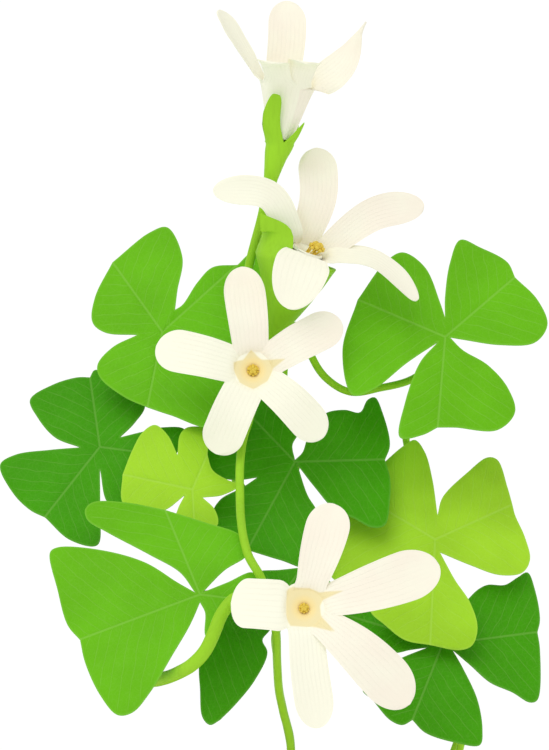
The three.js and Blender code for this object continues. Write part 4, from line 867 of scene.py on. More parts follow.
def sweep(body, path, radius_at, sides, foot=1.0, head=1.0):
    """Adds a round stem along a path. Its ends are rounded over `foot` and `head` millimetres."""
    count = max(int(path.length / STEM_STEP), STEM_LEAST_ROWS)
    places = [index / count * path.length for index in range(1, count)]
    places = [place for place in places if foot < place < path.length - head]
    low = [foot * (1 - math.cos(turn)) for turn in STEM_END_TURNS]
    high = [path.length - head * (1 - math.cos(turn)) for turn in reversed(STEM_END_TURNS)]
    start = sideways(path.along(0))
    rings = []
    for place in [*low, *places, *high]:
        share = place / path.length
        close = min(1, max(place, TINY) / foot, max(path.length - place, TINY) / head)
        axis = path.along(share)
        start = square_to(axis, start)
        radius = radius_at(share) * math.sqrt(1 - (1 - close) ** 2)
        rings.append(ring(path.at(share), axis, start, radius, sides))
    loft(body, rings)


def soil_top(x, y):
    return SOIL_EDGE + SOIL_RISE * (1 - math.hypot(x, y) / SOIL_RADIUS)


def out_of_soil(x, y):
    """The first places of a stalk, which comes straight up out of the soil."""
    return [Vector((x, y, soil_top(x, y) + rise)) for rise in FOOT_RISES]


def tree_of(points):
    """Points of the plane, laid out for finding the nearest."""
    tree = kdtree.KDTree(len(points))
    for number, point in enumerate(points):
        tree.insert(point.to_3d(), number)
    tree.balance()
    return tree


def spread(places, step):
    """Points at even steps along the smooth curve through places in the plane."""
    path = Path([(x, y, 0) for x, y in places])
    count = max(round(path.length / step), 2)
    return [path.at(index / count).to_2d() for index in range(count + 1)]


def turn_to(x, y, middle):
    """The angle at the hub of a leaf from a direction round to a place in its plane."""
    turn = math.atan2(y, x) - middle
    return math.atan2(math.sin(turn), math.cos(turn))


def leaf_relief(x, y, notch, before, after, settings):
    """How far a point of a leaf stands above the plane of its blade: each leaflet folds and sags."""
    middle = math.atan2(notch.y, notch.x)
    offset = turn_to(x, y, middle)
    gap = before if offset > 0 else after
    half = max(abs(turn_to(*gap, middle)), LEAF_LEAST_HALF)
    reach = math.hypot(x, y) / LEAF_SPAN
    side = min(abs(offset) / half, LEAF_SIDE_LIMIT)
    return (reach * settings.fold * side ** 2 - settings.sag * reach ** 2) / MM


def blade_outline(leaflets, step):
    """The points, loops and outer edge of a blade in its plane. Every loop is one half of a leaflet."""
    numbers = {}
    loops = []
    rim = []
    for index, (gap, left, notch, right) in enumerate(leaflets):
        after = leaflets[(index + 1) % len(leaflets)][0]
        midrib = spread([(0, 0), notch], step)
        left_side, right_side = spread([gap, *left, notch], step), spread([notch, *right, after], step)
        rim += left_side + right_side
        halves = [
            [*left_side, *reversed(midrib[:-1]), *spread([(0, 0), gap], step)[1:-1]],
            [*midrib, *right_side[1:], *spread([after, (0, 0)], step)[1:-1]],
        ]
        for half in halves:
            if sum(a.cross(b) for a, b in zip(half, [*half[1:], half[0]])) <= 0:
                half.reverse()
            keys = [(round(x, SAME_DECIMALS), round(y, SAME_DECIMALS)) for x, y in half]
            loops.append(list(dict.fromkeys(numbers.setdefault(key, len(numbers)) for key in keys)))
    return [Vector(key) for key in numbers], loops, rim


def blade_points(leaflets, points, spacing):
    """The points with further ones inside the blade: rows beside each midrib, then an even field."""
    beside = []
    for _, _, notch, _ in leaflets:
        notch = Vector(notch)
        along = notch.normalized()
        across = Vector((-along.y, along.x))
        count = int(notch.length / (OUTLINE_STEP * spacing))
        for row in MIDRIB_ROWS:
            for index in range(2, count):
                place = along * (index / count * notch.length)
                beside += [place + across * row, place - across * row]
    low_x, high_x = min(p.x for p in points), max(p.x for p in points)
    low_y, high_y = min(p.y for p in points), max(p.y for p in points)
    field = []
    for row in range(int((high_y - low_y) / (spacing * FIELD_ROW)) + 1):
        for column in range(int((high_x - low_x) / spacing) + 1):
            x = low_x + (column + row % 2 / 2) * spacing
            field.append(Vector((x, low_y + row * spacing * FIELD_ROW)))
    kept = list(points)
    for candidates, clear in ((beside, MIDRIB_CLEAR * spacing), (field, FIELD_CLEAR * spacing)):
        tree = tree_of(kept)
        kept += [point for point in candidates if tree.find(point.to_3d())[2] > clear]
    return kept


def leaf_blade(number, leaf, leaflets, normal, place_at):
    """One blade of three leaflets: a thin curved sheet with a sunken midrib and a fine edge."""
    settings = bpy.context.scene.shamrock_leaves
    outline, loops, rim = blade_outline(leaflets, OUTLINE_STEP * settings.spacing / MM)
    coords = blade_points(leaflets, outline, settings.spacing / MM)
    flat, _, faces, _, _, sources = delaunay_2d_cdt(coords, [], loops, 1, SAME_POINT)
    # Every point and face belongs to a leaflet, which has two loops.
    leaflet_of = {}
    kept = []
    for face, loop_numbers in zip(faces, sources):
        if loop_numbers:
            kept.append((face, loop_numbers[0] // 2))
            leaflet_of.update((point, loop_numbers[0] // 2) for point in face)
    used = sorted(leaflet_of)
    half_full, half_edge = settings.thickness / MM / 2, settings.edge / MM / 2
    rim_tree = tree_of(rim)
    points, offsets, from_rims = [], [], []
    for point in used:
        x, y = flat[point]
        index = leaflet_of[point]
        notch = Vector(leaflets[index][2])
        gap, after = leaflets[index][0], leaflets[(index + 1) % len(leaflets)][0]
        rise = leaf_relief(x, y, notch, gap, after, settings)
        off_midrib = abs(Vector((x, y)).cross(notch.normalized()))
        from_rim = rim_tree.find((x, y, 0))[2]
        inner = min(from_rim / BLADE_EDGE_WIDTH, 1)
        rise -= settings.groove / MM * math.exp(-(off_midrib / GROOVE_WIDTH) ** 2) * inner
        reach = min(math.hypot(x, y) / WAVE_START, 1)
        wave = noise.noise(Vector((x, y, leaf["hub"][0])) * WAVE_SCALE)
        rise += WAVE_HEIGHT * reach * wave * (WAVE_AT_RIM - WAVE_LOSS * inner)
        points.append(place_at(x, y, rise))
        offsets.append(normal * lerp(half_edge, half_full, math.sqrt(1 - (1 - inner) ** 2)))
        from_rims.append(from_rim)
    renumbered = {point: index for index, point in enumerate(used)}
    triangles = [tuple(renumbered[point] for point in face) for face, _ in kept]
    a, b, c = (points[corner] for corner in triangles[0])
    if (b - a).cross(c - a).dot(normal) <= 0:
        triangles = [tuple(reversed(triangle)) for triangle in triangles]
    solid_points, solid_faces = close_sheet(points, triangles, offsets)
    body = Body("rim", "under")
    count = len(points)
    body.add(solid_points, solid_faces, rim=from_rims * 2, under=[0.0] * count + [1.0] * count)
    face_leaflets = [index for _, index in kept] * 2
    face_leaflets += [leaflet_of[used[face[0] % count]] for face in solid_faces[len(face_leaflets):]]
    for face, index in zip(solid_faces, face_leaflets):
        along = Vector(leaflets[index][2]).normalized()
        for corner in face:
            spot = flat[used[corner % count]]
            body.uvs.append((spot.dot(along), abs(spot.cross(along))))
    tint = leaf["tint"]
    body.make(f"blade_{number}", leaf_material(tint), f"leaf_{number}_blade")


def front_leaf(number, leaf):
    """A leaf whose outline is given as it is seen from the front."""
    hub = sight(*leaf["hub"], leaf["near"])
    normal = facing(*leaf["lean"])

    def place_at(x, y, rise):
        aim = (sight(leaf["hub"][0] + x, leaf["hub"][1] + y, 0) - EYE).normalized()
        reach = (hub - EYE).dot(normal) / aim.dot(normal)
        return EYE + aim * (reach - rise)

    leaf_blade(number, leaf, leaf["leaflets"], normal, place_at)


def spun_leaf(number, leaf):
    """A leaf of three like leaflets in its own plane."""
    hub = sight(*leaf["hub"], leaf["near"])
    normal = facing(*leaf["lean"])
    level = Vector((0, 0, 1)).cross(normal).normalized()
    slope = normal.cross(level)
    leaflets = []
    for angle in (0, 120, 240):
        turn = math.radians(leaf["turn"] - angle)
        sine, cosine = math.sin(turn) * leaf["size"], math.cos(turn) * leaf["size"]
        spun = [(x * cosine - y * sine, x * sine + y * cosine) for x, y in LEAFLET]
        leaflets.append((spun[0], spun[1:4], spun[4], spun[5:]))

    def place_at(x, y, rise):
        return hub + level * x + slope * y + normal * rise

    leaf_blade(number, leaf, leaflets, normal, place_at)


def stalk_places(leaf, stem):
    """The places of a stalk on its way from the soil to the underside of a leaf."""
    places = out_of_soil(*stem["foot"]) if "foot" in stem else []
    if "column" in stem:
        low, high = stem["column"]
        for index, (across, up) in enumerate(COLUMN):
            places.append(sight(across, up, lerp(low, high, index / (len(COLUMN) - 1))))
    places += [sight(*place) for place in stem["route"]]
    below = bpy.context.scene.shamrock_leaves.thickness / MM * TIP_UNDER_BLADE
    return [*places, sight(*leaf["hub"], leaf["near"]) - facing(*leaf["lean"]) * below]


def leaf_stalk(body, leaf, stem):
    """One leaf stalk. It swells a little under its leaf, and where it leaves the soil."""
    settings = bpy.context.scene.shamrock_stems
    path = Path(stalk_places(leaf, stem))
    radius = settings.radius / MM

    def radius_at(share):
        left = (1 - share) * path.length
        joint = JOINT_SWELL * math.exp(-((left - JOINT_DROP) / JOINT_SPAN) ** 2) * radius
        swell = FOOT_SWELL * math.exp(-share * path.length / FOOT_SWELL_SPAN) * radius
        root = swell if "foot" in stem else 0
        ripple = STALK_RIPPLE * noise.noise(path.at(share) * STALK_RIPPLE_SCALE)
        tip = TIP_NARROWING * radius * smoothstep(TIP_SPAN, 0, left)
        return radius * (1 + ripple) + joint + root - tip

    sweep(body, path, radius_at, settings.sides, head=TIP_ROUNDING)


def tube_radius(bloom, share):
    """The outer radius of a bloom's tube at a share of its length."""
    return lerp(bloom["foot"], bloom["mouth"], share)


class Bloom:
    """Where a bloom stands: its axis, and places along it."""

    def __init__(self, bloom):
        self.base = sight(*bloom["base"])
        self.face = sight(*bloom["face"])
        self.length = (self.face - self.base).length
        self.axis = (self.face - self.base) / self.length

    def on(self, rise):
        return self.base + self.axis * rise

    def ring(self, rise, radius, sides):
        return ring(self.on(rise), self.axis, sideways(self.axis), radius, sides)


def strap_half(share, width, neck, broadest):
    """Half the width of a petal at a share of its length."""
    swell = lerp(neck, 1, math.sin(min(share / broadest, 1) * math.pi / 2))
    past = max(0, (share - broadest) / (1 - broadest))
    return width / 2 * swell * math.sqrt(max(1 - past ** 2, 0))


def rounded_shares(count):
    """Shares from 0 to nearly 1 that draw together towards the end, for a round tip."""
    shares = []
    for index in range(count):
        even = index / (count - 1)
        shares.append(STRAP_END * lerp(even, math.sin(even * math.pi / 2), STRAP_END_ROUNDING))
    return shares


def outline_distance(point, outline):
    """How far inside an outline a point of the plane lies. Outside it is negative."""
    inside = False
    nearest = math.inf
    for a, b in zip(outline, [*outline[1:], outline[0]]):
        share = min(max((point - a).dot(b - a) / (b - a).length_squared, 0), 1)
        nearest = min(nearest, (point - a.lerp(b, share)).length)
        if (a.y > point.y) != (b.y > point.y):
            if point.x < a.x + (point.y - a.y) / (b.y - a.y) * (b.x - a.x):
                inside = not inside
    return nearest if inside else -nearest


def claw_path(low, root, way, tip):
    """The middle line of a petal: straight up the wall to the root, then out to the tip. Also its claw."""
    points = [low.lerp(root, index / CLAW_POINTS) for index in range(CLAW_POINTS)]
    points += smooth([root, way, tip], STRAP_POINTS)
    for _ in range(CORNER_ROUNDS):
        before = list(points)
        for index in range(CLAW_POINTS - CORNER_REACH, CLAW_POINTS + CORNER_REACH + 1):
            points[index] = (before[index - 1] + before[index] * 2 + before[index + 1]) / 4
    path = Path(points, per_place=DENSE_PATH_POINTS)
    return path, path.reached[CLAW_POINTS * DENSE_PATH_POINTS]


class Strap:
    """The middle line of a petal or sepal, and how it lies across at each share of its length."""

    def __init__(self, path, claw, outward, axis, show, away=0.0):
        self.path = path
        self.claw = claw
        self.show = show
        self.level = outward.cross(axis).normalized()
        shown = path.along(STRAP_FRONT).cross(TO_EYE).normalized()
        self.hand = -1 if shown.dot(self.level) < away else 1

    def lie(self, share):
        """The place on the middle line, the length past the claw, its share, the way across and inward."""
        along = self.path.along(share)
        past = share * self.path.length - self.claw
        beyond = max(0, past / (self.path.length - self.claw))
        shown = along.cross(TO_EYE).normalized() * self.hand
        across = square_to(along, self.level.lerp(shown, lerp(*self.show, beyond)))
        return self.path.at(share), past, beyond, across, across.cross(along).normalized()


def petal(body, bloom, place, index):
    """One petal: a claw that is part of the tube's wall, and a strap that turns outward from the mouth."""
    settings = bpy.context.scene.shamrock_blooms
    rows, columns, thickness = settings.rows, settings.columns, settings.thickness / MM
    # The fifth value of a petal is how much of the pinkish tint it takes, which is painted light on the lit
    # side.
    middle, tip, width, show, blush, neck, broadest = bloom["petals"][index]
    way = sight(*middle)
    outward = square_to(place.axis, way - place.face)
    low_wall, high_wall = (tube_radius(bloom, share) - PETAL_INSET for share in (PETAL_START, 1))
    low = place.on(PETAL_START * place.length) + outward * low_wall
    path, claw = claw_path(low, place.face + outward * high_wall, way, sight(*tip))
    strap = Strap(path, claw, outward, place.axis, show, PETAL_AWAY)
    ripple_along, ripple_across, ripple_bloom = PETAL_RIPPLE_SCALE
    ripple_layer = bloom["face"][0] * ripple_bloom + index
    points, offsets, reaches, sides = [], [], [], []
    for share in rounded_shares(rows):
        spot, past, beyond, across, inner = strap.lie(share)
        flat = smoothstep(-STRAP_CLAW, STRAP_FLAT, past)
        for column in range(columns):
            side = column / (columns - 1) * 2 - 1
            round_wall = outward * math.cos(side * PETAL_WRAP) + strap.level * math.sin(side * PETAL_WRAP)
            arc = (round_wall - outward) * (spot - place.base).dot(outward)
            curl = thickness * PETAL_CURL * side ** 2 * min(beyond * PETAL_CURL_RISE, 1) * (1 - beyond ** 6)
            ripple = noise.noise(Vector((beyond * ripple_along, side * ripple_across, ripple_layer)))
            curl += PETAL_RIPPLE * beyond * abs(side) ** 3 * ripple
            open_out = across * (strap_half(beyond, width, neck, broadest) * side) + inner * curl
            points.append(spot + arc.lerp(open_out, flat) + outward * (PETAL_LAP * side * (1 - flat)))
            inward = (round_wall * -1).lerp(inner, flat).normalized()
            offsets.append(inward * (thickness / 2 * (1 - PETAL_EDGE_THINNING * side ** 4)))
            reaches.append(beyond)
            sides.append(side)
    # The petal's pinkish tint is painted light, and the tan star on it is partly painted shade of the throat.
    body.add(
        *close_sheet(points, grid_faces(rows, columns), offsets), star=inner_star(bloom, place, points),
        blush=float(blush), reach=reaches * 2, side=sides * 2)


def inner_star(bloom, place, points):
    """How far each point of a sheet lies inside the tan star, as seen from the front. The tan is partly the
    throat's own colour and partly painted shade in the hollow throat and the seams between petals. The
    underside of the sheet has none.
    """
    star = [Vector(corner) + pictured(place.face) for corner in bloom["star"]]
    outside = [-PICTURE_HEIGHT] * len(points)
    return ([outline_distance(pictured(point), star) for point in points] if star else outside) + outside


def throat(body, bloom, place):
    """The lining of a bloom's tube, and the shallow dish in its mouth that narrows to the style."""
    dish, neck = bloom["dish"], bloom["heart"] * NECK_SHARE
    wall = min(bloom["mouth"] - THROAT_INSET, dish - THROAT_INSET)
    half_way = lerp(wall, neck, 0.5)
    radii = [wall - THROAT_TAPER, wall, dish, dish - DISH_LIP, wall, half_way, neck + NECK_FLARE, neck]
    outline = [
        (tube_radius(bloom, PETAL_START) - THROAT_TAPER, PETAL_START * place.length),
        *((radius, place.length - drop) for radius, drop in zip(radii, THROAT_DROPS)),
        (neck - NECK_TAPER, place.length * NECK_FOOT),
    ]
    spine = Path([(radius, rise, 0) for radius, rise in outline])
    points, offsets, depths = [], [], []
    for row in range(THROAT_ROWS):
        share = row / (THROAT_ROWS - 1)
        spot, along = spine.at(share), spine.along(share)
        inner, outer = (
            place.ring(spot.y + rise, spot.x + out, THROAT_COLUMNS)
            for out, rise in ((0, 0), (along.y, -along.x)))
        points += inner
        offsets += [(b - a) * (THROAT_WALL / 2) for a, b in zip(inner, outer)]
        depths += [1 - smoothstep(neck, dish, spot.x)] * THROAT_COLUMNS
    faces = grid_faces(THROAT_ROWS, THROAT_COLUMNS, closed=True)
    a, b, c = (points[number] for number in faces[0][:3])
    if (b - a).cross(c - a).dot(offsets[0]) < 0:
        faces = [tuple(reversed(face)) for face in faces]
    # The tan star painted on the lining is partly painted shade of the hollow throat.
    star = inner_star(bloom, place, points)
    body.add(*close_sheet(points, faces, offsets), star=star, side=THROAT_SIDE, deep=depths * 2)


def grain(body, centre, axis, radius, length, tip):
    """A small rounded grain, `length` long along its axis."""
    rows = []
    for turn in GRAIN_TURNS:
        bulge = radius * math.sin(turn) * (1 + GRAIN_WAIST * math.sin(3 * turn))
        spot = centre - axis * (math.cos(turn) * length / 2)
        rows.append(ring(spot, axis, sideways(axis), bulge, GRAIN_SIDES))
    loft(body, rows, tip=tip)


def bloom_heart(number, bloom):
    """The golden style with its lobes, and the ring of anthers round it."""
    place = Bloom(bloom)
    body = Body("tip")
    head = bloom["heart"]
    top = sight(*bloom["head"]) if "head" in bloom else place.on(place.length - HEART_DEPTH)
    foot = place.on(STYLE_FOOT_SHARE * place.length + STYLE_FOOT_RISE)
    axis = place.axis
    start = sideways(axis)

    def under(drop):
        return top - axis * (head * drop)

    style = Path([foot, foot.lerp(under(1), 0.5), under(STYLE_DROP)])
    sweep(body, style, lambda share: lerp(*STYLE_RADII, share), GRAIN_SIDES)
    grain(body, under(HEAD["drop"]), axis, head * HEAD["radius"], head * HEAD["length"], tip=1.0)
    for lobe in ring(under(LOBE["drop"]), axis, start, head * LOBE["reach"], LOBE["count"]):
        out = (lobe - under(LOBE["aim"])).normalized()
        grain(body, lobe, out, head * LOBE["radius"], head * LOBE["length"], tip=1.0)
    anthers = ring(under(ANTHER["drop"]), axis, start, head * ANTHER["reach"], ANTHER["count"])
    feet = ring(foot + axis * FILAMENT["rise"], axis, start, FILAMENT["reach"], ANTHER["count"])
    for index, (low, high) in enumerate(zip(feet, anthers)):
        high = high - axis * (head * ANTHER["stagger"] * (index % 2))
        bend = low + axis * ((high - low).dot(axis) * FILAMENT["bend"])
        rounding = FILAMENT["rounding"]
        filament = Path([low, bend, high])
        sweep(body, filament, lambda share: FILAMENT["radius"], FILAMENT["sides"], rounding, rounding)
        level = axis.cross(high - under(1)).normalized()
        grain(body, high, level, head * ANTHER["radius"], head * ANTHER["length"], tip=0.5)
    body.make(f"heart_{number}", heart_material(), f"bloom_{number}_heart")


class Sepal:
    """A sepal that runs on from the rim of the green cup."""

    def __init__(self, place, rim, radius, below, sepal):
        middle, tip, width, show, self.peak, self.fullness = sepal
        way = sight(*middle)
        self.outward = square_to(place.axis, way - rim)
        self.radius = radius
        self.half = width / 2
        self.wrap = min(self.half / radius, SEPAL_WRAP)
        root = rim + self.outward * radius
        line = smooth([root - (rim - below), root, way, sight(*tip)], SEPAL_POINTS)[SEPAL_POINTS:]
        self.strap = Strap(Path(line, per_place=DENSE_PATH_POINTS), 0, self.outward, place.axis, show)

    def meet(self, direction):
        """How far across it a direction lies, from -1 to 1, and the share of its length it reaches there."""
        side = math.atan2(direction.dot(self.strap.level), direction.dot(self.outward)) / self.wrap
        if abs(side) >= 1:
            return side, 0
        beside = 1 - self.peak if side > self.peak else 1 + self.peak
        return side, 1 - (abs(side - self.peak) / beside) ** self.fullness

    def point(self, side, reach):
        """A point of the sepal, and the way outward there."""
        spot, _, _, across, inner = self.strap.lie(reach)
        turn = side * self.wrap
        round_wall = self.outward * math.cos(turn) + self.strap.level * math.sin(turn)
        flat = smoothstep(0, SEPAL_FLAT, reach)
        moved = ((round_wall - self.outward) * self.radius).lerp(across * (side * self.half), flat)
        return spot + moved, round_wall.lerp(inner * -1, flat).normalized()


def calyx(body, bloom):
    """The stalk of a bloom, which widens into the green cup, whose rim runs out into the sepals."""
    place = Bloom(bloom)
    cup, wall = bloom["cup"], CALYX_WALL / 2
    lean = sight(*bloom["lean"]) - sight(0, 0, 0)

    def middle(rise):
        return place.on(rise) + lean * (rise / cup) ** 2

    def radius(rise):
        return tube_radius(bloom, rise / place.length) + CALYX_GAP + wall + bloom["flare"] * rise / cup

    rises = [cup * step / CUP_STEPS for step in range(CUP_STEPS + 1)]
    path = Path(
        [sight(*spot[:3]) for spot in bloom["stem"]] + [middle(rise) for rise in rises],
        [spot[3] for spot in bloom["stem"]] + [radius(rise) + wall for rise in rises])
    rings = []
    start = sideways(path.along(0))
    count = int(path.length / CALYX_STEP)
    for step in range(count + 1):
        axis = path.along(step / count)
        start = square_to(axis, start)
        rings.append(ring(path.at(step / count), axis, start, path.value(step / count), CALYX_COLUMNS))
    rim = middle(cup)
    sepals = [Sepal(place, rim, radius(cup), middle(cup * CUP_BELOW_RIM), sepal) for sepal in bloom["sepals"]]
    columns = []
    for point in rings[-1]:
        direction = (point - rim).normalized()
        met = [(sepal, *sepal.meet(direction)) for sepal in sepals]
        columns.append((direction, *max(met, key=lambda found: found[2] * found[0].strap.path.length)))
    outer, inner = [], []
    for step in range(1, SEPAL_ROWS + 1):
        share = step / SEPAL_ROWS
        thin = wall * (1 - SEPAL_THINNING * share ** 3)
        outside, inside = [], []
        for direction, sepal, side, reach in columns:
            point, out = rim + direction * radius(cup), direction
            if reach > 0:
                point, out = sepal.point(side, reach * share)
            point = point + place.axis * (RIM_ROUND * share)
            outside.append(point + out * thin)
            inside.append(point - out * thin)
        outer.append(outside)
        inner.insert(0, inside)
    rises = [cup * step / CUP_LINING_STEPS for step in range(CUP_LINING_STEPS, -1, -1)]
    lining = [ring(middle(rise), axis, start, radius(rise) - wall, CALYX_COLUMNS) for rise in rises]
    loft(body, rings + outer + inner + lining)


def turned_pot(body, outline):
    """Adds the pot's solid of revolution, from an outline of radius and height. Its wall wanders a little."""
    rings = []
    for radius, height in outline:
        line = POT_WANDER * POT_LINE_SHARE * noise.noise(Vector((0, 0, height * POT_LINE_SCALE)))
        row = []
        for angle in turns(POT_SIDES):
            point = around(radius, angle, height)
            drift = POT_WANDER * noise.noise(point * POT_WANDER_SCALE) + line
            row.append(Vector((point.x, point.y, 0)) * (1 + drift / max(radius, 1)) + Vector((0, 0, height)))
        rings.append(row)
    loft(body, rings)


def rounded(corners, radius, step):
    """An outline whose inner corners are rounded, with points at most `step` apart."""
    corners = [Vector(corner) for corner in corners]
    bends = [corners[0]]
    for before, corner, after in zip(corners, corners[1:], corners[2:]):
        reach = min(radius, (before - corner).length / 2, (after - corner).length / 2)
        start = corner + (before - corner).normalized() * reach
        end = corner + (after - corner).normalized() * reach
        for share in BEND_SHARES:
            bends.append(start.lerp(corner, share).lerp(corner.lerp(end, share), share))
    bends.append(corners[-1])
    points = [bends[0]]
    for point in bends[1:]:
        count = int((point - points[-1]).length / step) + 1
        last = points[-1]
        points += [last.lerp(point, index / count) for index in range(1, count + 1)]
    return points


class Graph:
    """The nodes of one material, which end in its shader."""

    def __init__(self, name):
        self.material = bpy.data.materials.new(name)
        self.material.use_nodes = True
        self.nodes = self.material.node_tree.nodes
        self.shader = self.nodes["Principled BSDF"]

    def gloss(self, roughness, specular):
        self.shader.inputs["Roughness"].default_value = roughness
        self.shader.inputs["Specular IOR Level"].default_value = specular

    def add(self, kind, inputs, output=0, **settings):
        node = self.nodes.new(kind)
        for name, value in settings.items():
            setattr(node, name, value)
        for name, value in inputs.items():
            self.feed(node.inputs[name], value)
        return node.outputs[output]

    def feed(self, socket, value):
        if isinstance(value, bpy.types.NodeSocket):
            self.material.node_tree.links.new(value, socket)
        else:
            socket.default_value = value

    def layer(self, name):
        return self.add("ShaderNodeAttribute", {}, "Fac", attribute_name=name)

    def math(self, operation, *values):
        return self.add("ShaderNodeMath", dict(enumerate(values)), operation=operation)

    def times(self, a, b, plus=0.0):
        return self.math("MULTIPLY_ADD", a, b, plus)

    def fade(self, value, low, high, to_low=0.0, to_high=1.0):
        inputs = {"Value": value, "From Min": low, "From Max": high, "To Min": to_low, "To Max": to_high}
        return self.add("ShaderNodeMapRange", inputs, interpolation_type="SMOOTHSTEP")

    def line(self, distance, full, none):
        """1 up to the distance `full` from a line, and 0 from the distance `none` on."""
        return self.fade(distance, full, none, 1.0, 0.0)

    def mix(self, share, a, b):
        a, b = ((*colour, 1) if isinstance(colour, tuple) else colour for colour in (a, b))
        node = self.nodes.new("ShaderNodeMix")
        node.data_type = "RGBA"
        for socket, value in zip((node.inputs[0], node.inputs[6], node.inputs[7]), (share, a, b)):
            self.feed(socket, value)
        return node.outputs[2]

    def mottled(self, colour, cloud, low, high, dark, light):
        """A colour that goes from darker to lighter as the noise `cloud` goes from low to high."""
        return self.mix(self.fade(cloud, low, high), shaded(colour, dark), shaded(colour, light))

    def specked(self, base, speck, low, high, strength, other):
        """The base with so much of another colour where the noise `speck` is high."""
        return self.mix(self.fade(speck, low, high, 0.0, strength), base, other)

    def place(self):
        return self.add("ShaderNodeTexCoord", {}, "Object")

    def stretched(self, *scale):
        return self.add("ShaderNodeMapping", {"Vector": self.place(), "Scale": scale})

    def noise(self, scale, detail, vector=None):
        inputs = {
            "Scale": scale, "Detail": detail, "Roughness": NOISE_ROUGHNESS, "Vector": vector or self.place(),
        }
        return self.add("ShaderNodeTexNoise", inputs, "Fac")

    def finish(self, colour, height, depth, roughness=None):
        """Joins the colour, the height in millimetres of relief `depth`, and the roughness to the shader."""
        inputs = {"Height": height, "Strength": 1.0, "Distance": depth * MM}
        self.feed(self.shader.inputs["Base Color"], colour)
        self.feed(self.shader.inputs["Normal"], self.add("ShaderNodeBump", inputs, "Normal"))
        if roughness is not None:
            self.feed(self.shader.inputs["Roughness"], roughness)
        return self.material


def shared(pattern):
    """Lets pieces share a material: it is built once for each name that the pattern gives."""
    def keep(build):
        def material(*values):
            name = pattern.format(*values)
            return bpy.data.materials.get(name) or build(Graph(name), *values)
        return material
    return keep


def shaded(colour, share):
    """A colour made lighter, or darker where the share is below 1."""
    return tuple(min(channel * share, 1) for channel in colour)


def tinged(colour, other, share):
    """A colour with a share of another one in it."""
    return tuple(lerp(channel, full, share) for channel, full in zip(colour, other))


@shared("{} green leaf")
def leaf_material(graph, tint):
    """Leaf green with a pale midrib, side veins, a fine net of veinlets and a paler underside."""
    colour = tuple(getattr(bpy.context.scene.shamrock_leaves, tint))
    graph.gloss(roughness=0.55, specular=0.08)
    veins_per_mm, vein_slant, vein_bend, vein_wander = 0.42, -0.4, 0.85, 0.5
    uv = graph.add("ShaderNodeUVMap", {}, uv_map="blade")
    split = graph.add("ShaderNodeSeparateXYZ", {"Vector": uv}, "X").node
    along, across = split.outputs["X"], split.outputs["Y"]
    rim = graph.layer("rim")
    phase = graph.times(graph.math("POWER", across, vein_bend), vein_slant, graph.times(along, veins_per_mm))
    phase = graph.times(graph.noise(scale=220.0, detail=1.0), vein_wander, phase)
    side_vein = graph.line(graph.math("PINGPONG", phase, 0.5), full=0.02, none=0.07)
    side_vein = graph.times(side_vein, graph.fade(rim, 0.2, 1.6))
    midrib = graph.line(across, full=0.1, none=0.34)
    cells = {"Vector": uv, "Scale": 1.1}
    net = graph.add("ShaderNodeTexVoronoi", cells, "Distance", feature="DISTANCE_TO_EDGE")
    veinlet = graph.line(net, full=0.02, none=0.09)
    veins = graph.math("MAXIMUM", midrib, graph.times(side_vein, 0.6))
    veins = graph.math("MAXIMUM", veins, graph.times(veinlet, 0.2))
    cloud = graph.noise(scale=70.0, detail=2.0)
    base = graph.mottled(colour, cloud, 0.3, 0.7, dark=0.93, light=1.05)
    pale = tinged(colour, (0.75, 1.0, 0.35), 0.3)
    base = graph.mix(graph.times(veins, 0.32), base, pale)
    base = graph.mix(graph.fade(rim, 0.0, 0.5, 0.25, 0.0), base, pale)
    under = graph.times(graph.layer("under"), 0.7)
    base = graph.mix(under, base, tinged(colour, (0.6, 0.8, 0.5), 0.14))
    pores = graph.noise(scale=5200.0, detail=2.0)
    height = graph.times(veins, -0.8, graph.times(pores, 0.12))
    roughness = graph.fade(graph.noise(scale=400.0, detail=2.0), 0.3, 0.7, 0.46, 0.6)
    return graph.finish(base, height, depth=0.07, roughness=roughness)


@shared("green stalk")
def stem_material(graph):
    """Stalk green in fine lengthways streaks, mottled a little lighter and darker."""
    colour = tuple(bpy.context.scene.shamrock_stems.colour)
    graph.gloss(roughness=0.5, specular=0.1)
    streaks = graph.noise(scale=1500.0, detail=2.0, vector=graph.stretched(1.0, 1.0, 0.12))
    cloud = graph.noise(scale=60.0, detail=2.0)
    base = graph.mottled(colour, cloud, 0.35, 0.7, dark=0.94, light=1.05)
    base = graph.specked(base, streaks, 0.45, 0.75, strength=0.25, other=shaded(colour, 0.75))
    return graph.finish(base, streaks, depth=0.06, roughness=graph.fade(streaks, 0.3, 0.7, 0.42, 0.55))


